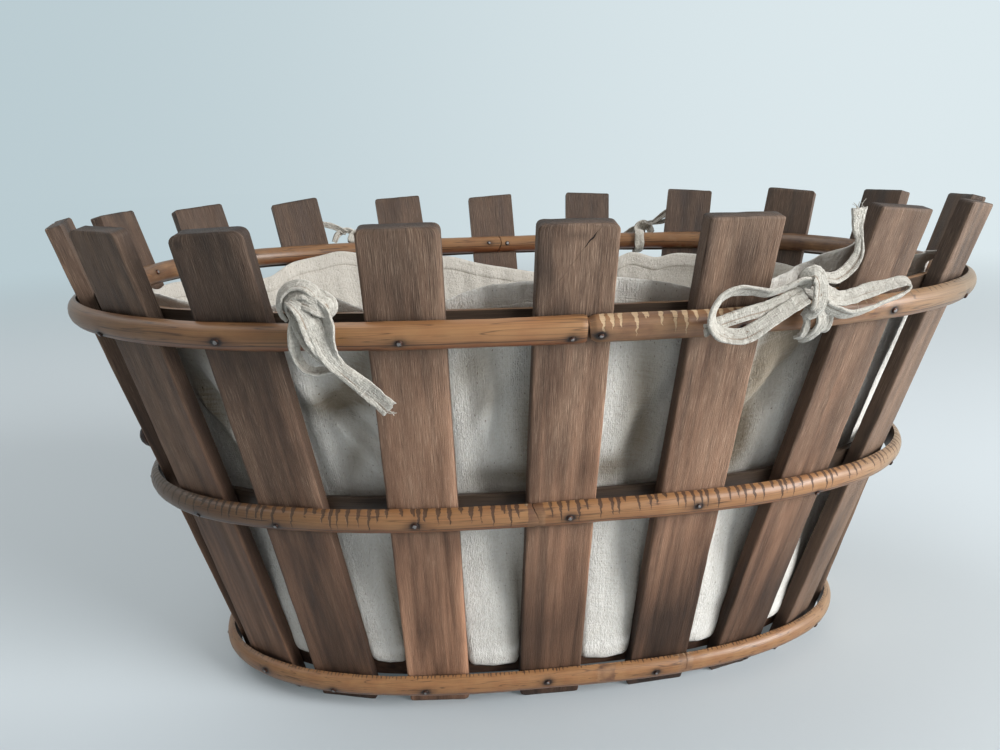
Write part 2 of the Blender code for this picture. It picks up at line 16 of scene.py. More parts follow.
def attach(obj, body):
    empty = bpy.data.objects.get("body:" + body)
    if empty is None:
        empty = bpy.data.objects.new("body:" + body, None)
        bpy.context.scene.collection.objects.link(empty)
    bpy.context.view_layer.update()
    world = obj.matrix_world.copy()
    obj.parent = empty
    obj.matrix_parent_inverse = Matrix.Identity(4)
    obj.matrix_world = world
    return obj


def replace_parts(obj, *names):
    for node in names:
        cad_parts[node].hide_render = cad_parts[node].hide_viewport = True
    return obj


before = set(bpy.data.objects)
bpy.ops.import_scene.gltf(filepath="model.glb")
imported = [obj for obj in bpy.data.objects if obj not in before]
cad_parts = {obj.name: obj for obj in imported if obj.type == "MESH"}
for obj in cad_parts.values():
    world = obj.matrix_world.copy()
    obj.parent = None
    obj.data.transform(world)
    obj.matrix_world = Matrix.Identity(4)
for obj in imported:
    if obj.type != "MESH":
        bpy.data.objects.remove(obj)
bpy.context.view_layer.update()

bl_info = {
    "name": "Wooden harvest basket",
    "version": (1, 0, 0),
    "blender": (4, 5, 0),
    "location": "3D View > Sidebar > Basket",
    "description": "Dresses an oval slatted basket and its tied linen bag",
    "category": "Object",
}

MM = 0.001

# The wall that the hoops lie on, as the solids have it
RIM_HALVES = (290 * MM, 179 * MM)
FOOT_HALVES = (227.3 * MM, 119 * MM)
RIM_Z = 258 * MM
MIDDLE_Z = 142.5 * MM
FOOT_Z = 15.2 * MM
OVAL_POWER = 2.53

# How far the hoops climb from the front to the back
RIM_RISE = 8 * MM
MIDDLE_RISE = -5 * MM

# Each hoop's height in front, how far it climbs, and how far along it its ends meet
OUTER_HOOPS = {
    "outer_hoop_rim": (RIM_Z, RIM_RISE, 0 * MM),
    "outer_hoop_middle": (MIDDLE_Z, MIDDLE_RISE, -24 * MM),
    "outer_hoop_foot": (FOOT_Z, 0 * MM, 82 * MM),
}
INNER_HOOPS = {
    "inner_hoop_rim": (RIM_Z, RIM_RISE, 781 * MM),
    "inner_hoop_middle": (MIDDLE_Z, MIDDLE_RISE, 690 * MM),
}
# How tall the hoops' rods are and how far they stand out from the slats, and the gap between the solids
HOOP_HEIGHT = 14.5 * MM
HOOP_DEPTH = 7 * MM
INNER_HOOP_HEIGHT = 14 * MM
INNER_HOOP_DEPTH = 7 * MM
CLEARANCE = 0.3 * MM

SLATS = [f"slat_{i + 1:02d}" for i in range(18)]
# How far apart two boards lie in the pattern of the grain
GRAIN_STEP = 0.31

# The camera's place, the pixels of its lens at a width of 1000, and how it is turned
CAMERA_PLACE = (-0.0777, -0.5327, 0.3321)
CAMERA_PIXELS = 769.55
CAMERA_YAW = 0.1044
CAMERA_PITCH = 0.2629
CAMERA_ROLL = -0.0253


def linear(code):
    """The linear colour of an sRGB hex value."""
    parts = [int(code[i : i + 2], 16) / 255 for i in (1, 3, 5)]
    return tuple(p / 12.92 if p <= 0.04045 else ((p + 0.055) / 1.055) ** 2.4 for p in parts)


# The wall's shape


def halves(height):
    """The wall's half length and half width at a height."""
    share = (height - FOOT_Z) / (RIM_Z - FOOT_Z)
    return tuple(low + share * (high - low) for low, high in zip(FOOT_HALVES, RIM_HALVES))


def oval(half_length, half_width, turn):
    """Points of an oval at some turns, and the directions that its outside faces there."""
    c, s = np.cos(turn), np.sin(turn)
    x = half_length * np.sign(c) * np.abs(c) ** (2 / OVAL_POWER)
    y = half_width * np.sign(s) * np.abs(s) ** (2 / OVAL_POWER)
    facing = np.arctan2(
        np.sign(s) * np.abs(s) ** (2 - 2 / OVAL_POWER) / half_width,
        np.sign(c) * np.abs(c) ** (2 - 2 / OVAL_POWER) / half_length,
    )
    return np.stack([x, y, np.zeros_like(x)], -1), facing


@lru_cache(maxsize=None)
def ruler(height):
    """Turns from the middle of the front round the oval at a height, with how far along each of them is."""
    turns = np.linspace(-math.pi / 2, 1.5 * math.pi, 4001)
    points = oval(*halves(height), turns)[0]
    steps = np.linalg.norm(np.diff(points, axis=0), axis=1)
    return turns, np.concatenate([[0.0], np.cumsum(steps)])


def girth(height):
    """The length round the wall at a height."""
    return ruler(height)[1][-1]


def support(height, facing):
    """How far from the middle line the wall's tangent planes lie that face these ways."""
    a, b = halves(height)
    power = OVAL_POWER / (OVAL_POWER - 1)
    return (np.abs(a * np.cos(facing)) ** power + np.abs(b * np.sin(facing)) ** power) ** (1 / power)


def wall(height, along):
    """Places on the wall, with the directions along it, square out of it and up it."""
    turns, reached = ruler(height)
    turn = np.interp(np.mod(along, reached[-1]), reached, turns)
    point, facing = oval(*halves(height), turn)
    point[..., 2] = height
    lean = np.arctan2(support(RIM_Z, facing) - support(FOOT_Z, facing), RIM_Z - FOOT_Z)[..., None]
    level = np.stack([np.cos(facing), np.sin(facing), np.zeros_like(facing)], -1)
    upright = np.array([0.0, 0.0, 1.0])
    out = level * np.cos(lean) - upright * np.sin(lean)
    up = level * np.sin(lean) + upright * np.cos(lean)
    return point, np.cross(up, out), out, up


def climbed(places, rise):
    """Places moved up the wall as a hoop climbs from the front to the back."""
    point, side, out, up = places
    return point + up * (rise * point[..., 1:2] / (2 * RIM_HALVES[1]) / up[..., 2:3]), side, out, up


@lru_cache(maxsize=None)
def slat_face(name):
    """A slat's outer face, read from its solid.

    It gives the face's middle at z = 0, its directions across, out and up, how far up it ends and its width.
    """
    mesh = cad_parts[name].data
    normals = np.array([p.normal for p in mesh.polygons])
    areas = np.array([p.area for p in mesh.polygons])
    verts = np.array([v.co for v in mesh.vertices])
    middle = (verts.min(0) + verts.max(0)) / 2
    out = normals[areas.argmax()]
    out = out * np.sign(out[:2] @ middle[:2])
    edge = np.where(np.abs(normals @ out) < 0.1, areas, 0).argmax()
    side = normals[edge]
    up = np.cross(out, side)
    side, up = side * np.sign(up[2]), up * np.sign(up[2])
    across = verts @ side
    origin = out * (verts @ out).max() + side * (across.min() + across.max()) / 2 + up * (middle @ up)
    origin = origin - up * (origin[2] / up[2])
    return origin, side, out, up, float(((verts - origin) @ up).max()), float(np.ptp(across))


SLAT_WIDTH = slat_face(SLATS[0])[5]
SLAT_THICKNESS = 9 * MM


@lru_cache(maxsize=None)
def slat_depths(height):
    """Where the slats' edges are along the wall at a height, and how deep a line inside them runs there."""
    along = np.linspace(0, girth(height), 1440, endpoint=False)
    points, _, outs, _ = wall(height, along)
    knots = []
    for name in SLATS:
        origin, side, out, _, _, _ = slat_face(name)
        steps = points - (origin - out * SLAT_THICKNESS)
        over = (np.abs(steps @ side) < SLAT_WIDTH / 2) & (outs @ out > 0.5)
        middle = along[over][np.abs(steps @ side)[over].argmin()]
        reach = float(((steps @ out)[over] / (outs @ out)[over]).max())
        knots += [(middle - SLAT_WIDTH / 2, reach), (middle + SLAT_WIDTH / 2, reach)]
    knots.sort()
    return np.array(knots).T


def inside(height, along, gap):
    """Places on the line that runs inside the slats at a gap from them."""
    places, depths = slat_depths(height)
    long = girth(height)
    depth = np.interp(np.mod(along, long), places, depths, period=long) + gap
    point, side, out, up = wall(height, along)
    return point - out * depth[..., None], side, out, up


# Modelling


def waves(u, v, seed, count=5):
    """A smooth uneven field that runs on at whole numbers of u, from about -1 to 1."""
    rng = np.random.default_rng(seed)
    total = np.zeros(np.broadcast(u, v).shape)
    for _ in range(count):
        turns, slope, start = rng.integers(1, 7), rng.uniform(-1, 1), rng.uniform(0, 2 * math.pi)
        total += np.sin(2 * math.pi * (turns * u + slope * v) + start)
    return total / math.sqrt(count)


def rough(points, size, seed=0.0):
    """Even noise at some points, from about -1 to 1, with lumps of a size."""
    flat = np.asarray(points).reshape(-1, 3) / size + seed
    return np.array([noise.noise(p) for p in flat.tolist()]).reshape(np.shape(points)[:-1])


def placed_sheet(places, uvs, closed=False, capped=False, layers=None):
    """A mesh of quads through rows of places, joined where a row's ends meet, with its own UV map."""
    rows, columns = places.shape[:2]
    work = bmesh.new()
    bmesh.ops.create_grid(work, x_segments=columns - 1, y_segments=rows - 1, size=0.5)
    work.verts.ensure_lookup_table()
    uv = work.loops.layers.uv.new("UVMap")
    flat_uvs = uvs.reshape(-1, 2).tolist()
    for face in work.faces:
        for loop in face.loops:
            loop[uv].uv = flat_uvs[loop.vert.index]
    for layer, values in (layers or {}).items():
        made = work.verts.layers.float.new(layer)
        for vert, value in zip(work.verts, np.ravel(values).tolist(), strict=True):
            vert[made] = value
    for vert, place in zip(work.verts, places.reshape(-1, 3).tolist(), strict=True):
        vert.co = place
    if closed:
        bmesh.ops.remove_doubles(work, verts=work.verts, dist=1e-6)
    if capped:
        bmesh.ops.holes_fill(work, edges=work.edges, sides=0)
        bmesh.ops.recalc_face_normals(work, faces=work.faces)
    return work


def finish_piece(name, work, material, replaced=(), smooth_under=40, thickness=0.0):
    """An object of a bmesh in a material, which rides on the basket and stands for the named solids."""
    mesh = bpy.data.meshes.new(name)
    work.to_mesh(mesh)
    work.free()
    mesh.shade_smooth()
    mesh.set_sharp_from_angle(angle=math.radians(smooth_under))
    mesh.materials.append(material)
    made = bpy.data.objects.new(name, mesh)
    bpy.context.scene.collection.objects.link(made)
    if thickness:
        cloth = made.modifiers.new("cloth", "SOLIDIFY")
        cloth.thickness = thickness
        cloth.offset = 0
    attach(made, "root")
    if replaced:
        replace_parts(made, *replaced)
    return made


def smooth_route(points, spacing):
    """Points spread along a smooth curve through a route's own points."""
    points = np.asarray(points, float)
    ends = [2 * points[0] - points[1], *points, 2 * points[-1] - points[-2]]
    fine = []
    for a, b, c, d in zip(ends, ends[1:], ends[2:], ends[3:]):
        for t in np.arange(12) / 12:
            curve = (2 * a - 5 * b + 4 * c - d) * t**2 + (3 * b - a - 3 * c + d) * t**3
            fine.append(0.5 * (2 * b + (c - a) * t + curve))
    fine = np.array([*fine, points[-1]])
    reached = np.concatenate([[0.0], np.cumsum(np.linalg.norm(np.diff(fine, axis=0), axis=1))])
    stops = np.linspace(0, reached[-1], max(4, round(reached[-1] / spacing) + 1))
    return np.stack([np.interp(stops, reached, fine[:, axis]) for axis in range(3)], -1)


# Materials


def socket(value):
    """A socket as it is, or the first output that is in use of a node."""
    if isinstance(value, bpy.types.Node):
        return next(output for output in value.outputs if output.enabled)
    return value


def add(tree, kind, inputs=(), stops=(), **settings):
    """Adds a node with its settings and links: a socket or a node is linked, and any other value is set."""
    made = tree.nodes.new("ShaderNode" + kind)
    for key, value in settings.items():
        setattr(made, key, value)
    if stops:
        elements = made.color_ramp.elements
        elements[0].position, elements[-1].position = stops[0][0], stops[-1][0]
        for place, _ in stops[1:-1]:
            elements.new(place)
        for element, (_, colour) in zip(elements, stops):
            element.color = (*colour, 1) if isinstance(colour, tuple) else (colour, colour, colour, 1)
    for key, value in dict(inputs).items():
        value = socket(value)
        if isinstance(value, bpy.types.NodeSocket):
            tree.links.new(value, made.inputs[key])
        else:
            made.inputs[key].default_value = value
    return made


def begin(name, **values):
    """A new material's tree and its shader, with the shader's own plain values set."""
    made = bpy.data.materials.new(name)
    made.use_nodes = True
    shader = made.node_tree.nodes["Principled BSDF"]
    for key, value in values.items():
        shader.inputs[key.replace("_", " ")].default_value = value
    return made, made.node_tree, shader


def join(tree, end, **made):
    """Links what has been made to the sockets of a shader or an output."""
    for key, value in made.items():
        tree.links.new(socket(value), end.inputs[key.replace("_", " ")])


def away(tree, value, middle):
    """How far a value is from another, either way."""
    gap = add(tree, "Math", {0: value, 1: middle}, operation="SUBTRACT")
    return add(tree, "Math", {0: gap}, operation="ABSOLUTE")


def toned(tree, wood, tone):
    """A wood's colour, lighter or darker by a share of itself."""
    shade = add(tree, "Math", {0: tone, 1: 1.0}, operation="ADD")
    shade = add(tree, "CombineXYZ", {0: shade, 1: shade, 2: shade})
    return add(tree, "Mix", {0: 1.0, 6: wood, 7: shade}, data_type="RGBA", blend_type="MULTIPLY")


def open_crack(tree, uv, crack):
    """The one open crack, aslant near the top of the board in the middle: 0.9 mm wide and 10 mm long."""
    split = add(tree, "VectorMath", {0: uv, 1: (*crack, 0)}, operation="SUBTRACT")
    bent = add(tree, "TexNoise", {"Vector": split, "Scale": 1 / 0.004, "Detail": 2.0})
    split = add(tree, "VectorRotate", {"Vector": split, "Angle": math.radians(35)}, rotation_type="Z_AXIS")
    split = add(tree, "SeparateXYZ", {"Vector": split})
    wide = add(tree, "Math", {0: split.outputs[1]}, operation="ABSOLUTE")
    wide = add(tree, "MapRange", {"Value": wide, "From Max": 0.0052, "To Min": 0.00045, "To Max": 0.0})
    aside = add(tree, "Math", {0: bent, 1: 0.0022, 2: split.outputs[0]}, operation="MULTIPLY_ADD")
    split = add(tree, "Math", {0: wide, 1: away(tree, aside, 0.0011)}, operation="SUBTRACT")
    return add(tree, "MapRange", {"Value": split, "From Min": -0.0001, "From Max": 0.00015})


def slat_wood(colours, crack):
    """Weathered sawn boards: silvery fibres raised over red-brown wood, greyer towards the tops."""
    made, tree, shader = begin("weathered slat wood", Roughness=0.66, Specular_IOR_Level=0.35)
    uv = add(tree, "UVMap", uv_map="UVMap")
    # Torn fibres 0.3 mm wide would blur away at this distance, so they are drawn 0.5 mm wide and 14 mm long
    fine_place = add(tree, "Mapping", {"Vector": uv, "Scale": (1 / 0.0005, 1 / 0.014, 1)})
    fine = add(tree, "TexNoise", {"Vector": fine_place, "Scale": 1.0, "Detail": 3.0, "Roughness": 0.7})
    # Growth rings sawn lengthwise, 5.5 mm apart
    ring_place = add(tree, "Mapping", {"Vector": uv, "Scale": (1 / 0.0055, 1 / 0.13, 1)})
    rings = add(tree, "TexNoise", {"Vector": ring_place, "Scale": 1.0, "Detail": 4.0, "Distortion": 0.4})
    # Broad patches of dirt and handling
    patch_place = add(tree, "Mapping", {"Vector": uv, "Scale": (1 / 0.013, 1 / 0.075, 1)})
    patches = add(tree, "TexNoise", {"Vector": patch_place, "Scale": 1.0, "Detail": 5.0, "Roughness": 0.55})
    apart = add(tree, "SeparateXYZ", {"Vector": uv})
    height = add(tree, "MapRange", {"Value": apart.outputs[1], "From Min": 0.05, "From Max": 0.31})
    tone, stain, slat_window_sheen = (
        add(tree, "Attribute", attribute_name=layer).outputs["Fac"] for layer in ("tone", "stain", "slat_window_sheen")
    )
    ring_tone = add(tree, "ValToRGB", {"Fac": rings}, stops=[(0.36, 0.0), (0.60, 1.0)])
    late, early = (*colours.slat_dark, 1), (*colours.slat_brown, 1)
    wood = add(tree, "Mix", {0: ring_tone, 6: late, 7: early}, data_type="RGBA")
    # Greyer towards the tops, in uneven patches
    weather_and_sheen = add(tree, "Math", {0: height, 1: 0.55, 2: patches}, operation="MULTIPLY_ADD")
    weather_and_sheen = add(tree, "MapRange", {"Value": weather_and_sheen, "From Min": 0.55, "From Max": 1.05, "To Max": 0.75})
    # Painted reflection of the window: the slats at the right end are greyer
    weather_and_sheen = add(tree, "Math", {0: weather_and_sheen, 1: slat_window_sheen}, operation="MAXIMUM")
    wood = add(tree, "Mix", {0: weather_and_sheen, 6: wood, 7: (*colours.slat_grey_and_sheen, 1)}, data_type="RGBA")
    # The fibres stand up most at the tops, and in patches below
    fibrous = add(tree, "Math", {0: height, 1: 0.9, 2: patches}, operation="MULTIPLY_ADD")
    fibrous = add(tree, "MapRange", {"Value": fibrous, "From Min": 0.70, "From Max": 1.25, "To Min": 0.22})
    fibre = add(tree, "ValToRGB", {"Fac": fine}, stops=[(0.53, 0.0), (0.68, 0.60)])
    fibre = add(tree, "Math", {0: fibre, 1: fibrous}, operation="MULTIPLY")
    wood = add(tree, "Mix", {0: fibre, 6: wood, 7: (*colours.slat_fibre, 1)}, data_type="RGBA")
    pores = add(tree, "ValToRGB", {"Fac": fine}, stops=[(0.30, 0.80), (0.45, 0.0)])
    pores = add(tree, "Math", {0: pores, 1: fibrous}, operation="MULTIPLY")
    wood = add(tree, "Mix", {0: pores, 6: wood, 7: (*colours.slat_pore, 1)}, data_type="RGBA")
    patch_tone = add(tree, "ValToRGB", {"Fac": patches}, stops=[(0.30, 0.52), (0.48, 0.98), (0.68, 1.24)])
    wood = add(tree, "Mix", {0: 1.0, 6: wood, 7: patch_tone}, data_type="RGBA", blend_type="MULTIPLY")
    wood = toned(tree, wood, tone)
    # The stain layer holds painted shade too: beside the hoops and on the slats' sides and back
    stained = add(tree, "Math", {0: stain, 1: 0.8}, operation="MULTIPLY")
    wood = add(tree, "Mix", {0: stained, 6: wood, 7: (*colours.stain, 1)}, data_type="RGBA")
    split = open_crack(tree, uv, crack)
    wood = add(tree, "Mix", {0: split, 6: wood, 7: (*colours.stain, 1)}, data_type="RGBA")
    lift = add(tree, "Math", {0: rings, 1: 0.8, 2: fine}, operation="MULTIPLY_ADD")
    lift = add(tree, "Math", {0: split, 1: -2.0, 2: lift}, operation="MULTIPLY_ADD")
    bump = add(tree, "Bump", {"Height": lift, "Distance": 0.0006, "Strength": 0.9})
    gloss = {"Value": patches, "From Min": 0.3, "From Max": 0.7, "To Min": 0.50, "To Max": 0.75}
    gloss = add(tree, "MapRange", gloss)
    join(tree, shader, Base_Color=wood, Roughness=gloss, Normal=bump)
    return made


def bend_cracks(tree, along, waver, level, torn):
    """Cracks across the bend, about 6 mm apart, that waver as they run down from the upper edge."""
    crossing = add(tree, "Math", {0: along, 1: 1 / 0.006}, operation="MULTIPLY")
    crossing = add(tree, "Math", {0: waver, 1: 0.5, 2: crossing}, operation="MULTIPLY_ADD")
    cells = add(
        tree, "TexVoronoi", {"W": crossing, "Scale": 1.0},
        voronoi_dimensions="1D", feature="DISTANCE_TO_EDGE",
    )
    # Each crack reaches down as far as it was torn, and unevenly
    reach = add(tree, "Math", {0: along, 1: 1 / 0.005}, operation="MULTIPLY")
    reach = add(tree, "TexNoise", {"W": reach, "Scale": 1.0, "Detail": 2.0}, noise_dimensions="1D")
    reach = {"Value": reach, "From Min": 0.36, "From Max": 0.62, "To Min": 0.15, "To Max": 1.5}
    reach = add(tree, "MapRange", reach)
    reach = add(tree, "Math", {0: reach, 1: torn}, operation="MULTIPLY")
    below = add(tree, "Math", {0: 1.0, 1: reach}, operation="SUBTRACT")
    above = add(tree, "Math", {0: level, 1: below}, operation="SUBTRACT")
    share = add(tree, "Math", {0: above, 1: reach}, operation="DIVIDE", use_clamp=True)
    crack = add(tree, "Math", {0: share, 1: 1.6}, operation="POWER")
    crack = add(tree, "Math", {0: crack, 1: 0.22, 2: 0.02}, operation="MULTIPLY_ADD")
    started = add(tree, "Math", {0: share, 1: 0.02}, operation="GREATER_THAN")
    crack = add(tree, "Math", {0: crack, 1: started}, operation="MULTIPLY")
    crack = add(tree, "Math", {0: crack, 1: cells.outputs["Distance"]}, operation="SUBTRACT")
    return add(tree, "MapRange", {"Value": crack, "From Max": 0.03})


def long_cracks(tree, uv, level, edge, wood, split):
    """The wood with two long cracks that come and go along it, at two thirds and a third of its height."""
    sway = add(tree, "Mapping", {"Vector": uv, "Scale": (1 / 0.045, 0, 1)})
    sway = add(tree, "TexNoise", {"Vector": sway, "Scale": 1.0, "Detail": 3.0})
    for high in (0.64, 0.33):
        line = add(tree, "Math", {0: sway, 1: 0.12, 2: high - 0.06}, operation="MULTIPLY_ADD")
        line = away(tree, level, line)
        line = {"Value": line, "From Min": 0.012, "From Max": 0.03, "To Min": 1.0, "To Max": 0.0}
        line = add(tree, "MapRange", line)
        there = add(tree, "Math", {0: sway, 1: high}, operation="ADD")
        there = add(tree, "Math", {0: there, 1: 9.0}, operation="MULTIPLY")
        there = add(tree, "Math", {0: there}, operation="SINE")
        there = add(tree, "MapRange", {"Value": there, "From Min": -0.6, "From Max": 0.1, "To Max": 0.95})
        line = add(tree, "Math", {0: line, 1: there}, operation="MULTIPLY")
        peel = add(tree, "Math", {0: 0.9, 1: edge}, operation="SUBTRACT", use_clamp=True)
        line = add(tree, "Math", {0: line, 1: peel}, operation="MULTIPLY")
        wood = add(tree, "Mix", {0: line, 6: wood, 7: split}, data_type="RGBA")
    return wood


def split_rod(colours):
    """Split hazel rod: glossy where it was peeled, its skin cracked across its upper edge as it bent."""
    made, tree, shader = begin(
        "peeled split hazel rod",
        Roughness=0.42, Specular_IOR_Level=0.4, Coat_Weight=0.13, Coat_Roughness=0.3,
    )
    uv = add(tree, "UVMap", uv_map="UVMap")
    along = add(tree, "SeparateXYZ", {"Vector": uv}).outputs[0]
    level, bark, torn, sawn_and_shade, stain, tone, rod_window_sheen = (
        add(tree, "Attribute", attribute_name=layer).outputs["Fac"]
        for layer in ("level", "bark", "torn", "sawn_and_shade", "stain", "tone", "rod_window_sheen")
    )
    # Long fibres, 0.9 mm wide
    fibre_place = add(tree, "Mapping", {"Vector": uv, "Scale": (1 / 0.040, 1 / 0.0009, 1)})
    fibres = add(tree, "TexNoise", {"Vector": fibre_place, "Scale": 1.0, "Detail": 4.0, "Roughness": 0.6})
    patch_place = add(tree, "Mapping", {"Vector": uv, "Scale": (1 / 0.022, 1 / 0.009, 1)})
    patches = add(tree, "TexNoise", {"Vector": patch_place, "Scale": 1.0, "Detail": 4.0})
    waver_place = add(tree, "Mapping", {"Vector": uv, "Scale": (1 / 0.004, 1 / 0.0025, 1)})
    waver = add(tree, "TexNoise", {"Vector": waver_place, "Scale": 1.0, "Detail": 3.0})
    crack = bend_cracks(tree, along, waver, level, torn)
    # The peeled wood, redder towards its lower edge
    low = {"Value": level, "From Min": 0.05, "From Max": 0.45, "To Min": 0.55, "To Max": 0.0}
    low = add(tree, "MapRange", low)
    low = add(tree, "Math", {0: patches, 1: 0.7, 2: low}, operation="MULTIPLY_ADD")
    low = add(tree, "MapRange", {"Value": low, "From Min": 0.22, "From Max": 0.85})
    tan, red = (*colours.rod_tan, 1), (*colours.rod_red, 1)
    peeled = add(tree, "Mix", {0: low, 6: tan, 7: red}, data_type="RGBA")
    bark_share = add(tree, "MapRange", {"Value": patches, "From Min": 0.35, "From Max": 0.65})
    dark, light = (*colours.bark_dark, 1), (*colours.bark_light, 1)
    barked = add(tree, "Mix", {0: bark_share, 6: dark, 7: light}, data_type="RGBA")
    # What is left of the bark ends at torn edges
    edge = add(tree, "Math", {0: waver, 1: 0.5, 2: bark}, operation="MULTIPLY_ADD")
    edge = add(tree, "Math", {0: patches, 1: 0.9, 2: edge}, operation="MULTIPLY_ADD")
    edge = add(tree, "MapRange", {"Value": edge, "From Min": 1.08, "From Max": 1.22})
    ground = add(tree, "Mix", {0: edge, 6: peeled, 7: barked}, data_type="RGBA")
    # A crack is dark in peeled wood, and shows pale wood where it breaks the bark
    split, bare = (*colours.rod_crack, 1), (*colours.rod_pale, 1)
    broken = add(tree, "Mix", {0: bark, 6: split, 7: bare}, data_type="RGBA")
    crack_share = add(tree, "Math", {0: crack, 1: 0.85}, operation="MULTIPLY")
    wood = add(tree, "Mix", {0: crack_share, 6: ground, 7: broken}, data_type="RGBA")
    # Painted reflection of the window: paler towards the right end, but not in its cracks
    whole = add(tree, "Math", {0: 1.0, 1: crack_share}, operation="SUBTRACT")
    rod_window_sheen = add(tree, "Math", {0: rod_window_sheen, 1: whole}, operation="MULTIPLY")
    pale = (*colours.rod_sheen_colour, 1)
    wood = add(tree, "Mix", {0: rod_window_sheen, 6: wood, 7: pale}, data_type="RGBA")
    # Hairline checks along the rod
    check_place = add(tree, "Mapping", {"Vector": uv, "Scale": (1 / 0.11, 1 / 0.0036, 1)})
    checks = add(tree, "TexNoise", {"Vector": check_place, "Scale": 1.0, "Detail": 1.0})
    checks = add(tree, "ValToRGB", {"Fac": checks}, stops=[(0.484, 0.0), (0.497, 0.75), (0.510, 0.0)])
    wood = add(tree, "Mix", {0: checks, 6: wood, 7: split}, data_type="RGBA")
    wood = long_cracks(tree, uv, level, edge, wood, split)
    # The sawn flat side, and painted shade all round the middle inner hoop
    pore, grey = (*colours.slat_pore, 1), (*colours.raw_grey, 1)
    sawn = add(tree, "Mix", {0: fibres, 6: pore, 7: grey}, data_type="RGBA")
    wood = add(tree, "Mix", {0: sawn_and_shade, 6: wood, 7: sawn}, data_type="RGBA")
    streak = add(tree, "ValToRGB", {"Fac": fibres}, stops=[(0.30, 0.84), (0.62, 1.10)])
    wood = add(tree, "Mix", {0: 1.0, 6: wood, 7: streak}, data_type="RGBA", blend_type="MULTIPLY")
    wood = toned(tree, wood, tone)
    stained = add(tree, "Math", {0: patches, 1: 1.4, 2: 0.45}, operation="MULTIPLY_ADD")
    stained = add(tree, "Math", {0: stain, 1: stained}, operation="MULTIPLY", use_clamp=True)
    wood = add(tree, "Mix", {0: stained, 6: wood, 7: (*colours.stain, 1)}, data_type="RGBA")
    lift = add(tree, "Math", {0: crack, 1: -0.7}, operation="MULTIPLY")
    lift = add(tree, "Math", {0: fibres, 1: 0.4, 2: lift}, operation="MULTIPLY_ADD")
    bump = add(tree, "Bump", {"Height": lift, "Distance": 0.0004, "Strength": 0.8})
    gloss = add(tree, "MapRange", {"Value": crack, "To Min": 0.42, "To Max": 0.7})
    join(tree, shader, Base_Color=wood, Roughness=gloss, Normal=bump)
    return made


def floor_board(colours):
    """Rough sawn boards gone dark with damp, their fibres along the basket."""
    made, tree, shader = begin("dark sawn floor board", Roughness=0.8, Specular_IOR_Level=0.3)
    place = add(tree, "TexCoord").outputs["Object"]
    fibre_place = add(tree, "Mapping", {"Vector": place, "Scale": (1 / 0.060, 1 / 0.0014, 1 / 0.0030)})
    fibres = add(tree, "TexNoise", {"Vector": fibre_place, "Scale": 1.0, "Detail": 5.0})
    patches = add(tree, "TexNoise", {"Vector": place, "Scale": 1 / 0.05, "Detail": 4.0})
    tone = add(tree, "Math", {0: fibres, 1: patches}, operation="MULTIPLY")
    stops = [(0.12, tuple(colours.slat_pore)), (0.42, tuple(colours.slat_dark))]
    wood = add(tree, "ValToRGB", {"Fac": tone}, stops=stops)
    bump = add(tree, "Bump", {"Height": fibres, "Distance": 0.0006, "Strength": 0.8})
    join(tree, shader, Base_Color=wood, Normal=bump)
    return made


def forged_iron(colours):
    """Hand-forged nails, black with a brown bloom of rust and a worn crown that still shines, its lighter
    colour partly a painted highlight.
    """
    made, tree, shader = begin("rusted forged iron", Metallic=0.8, Roughness=0.5)
    place = add(tree, "TexCoord").outputs["Object"]
    worn = add(tree, "Attribute", attribute_name="worn")
    # Pits of rust, 0.8 mm across
    pits = add(tree, "TexNoise", {"Vector": place, "Scale": 1 / 0.0008, "Detail": 4.0})
    bloom = add(tree, "TexNoise", {"Vector": place, "Scale": 1 / 0.0035, "Detail": 2.0})
    colour = add(
        tree, "ValToRGB", {"Fac": bloom},
        stops=[(0.35, tuple(colours.iron)), (0.60, tuple(colours.rust)), (0.72, tuple(colours.iron))],
    )
    # The crown is worn and painted lighter, partly as a painted highlight
    crown = add(tree, "Math", {0: worn.outputs["Fac"], 1: pits}, operation="MULTIPLY")
    crown = add(tree, "MapRange", {"Value": crown, "From Min": 0.25, "From Max": 0.45})
    colour = add(tree, "Mix", {0: crown, 6: colour, 7: (*colours.iron_worn_highlight, 1)}, data_type="RGBA")
    gloss = {"Value": pits, "From Min": 0.3, "From Max": 0.7, "To Min": 0.35, "To Max": 0.7}
    gloss = add(tree, "MapRange", gloss)
    bump = add(tree, "Bump", {"Height": pits, "Distance": 0.0003, "Strength": 0.7})
    join(tree, shader, Base_Color=colour, Roughness=gloss, Normal=bump)
    return made


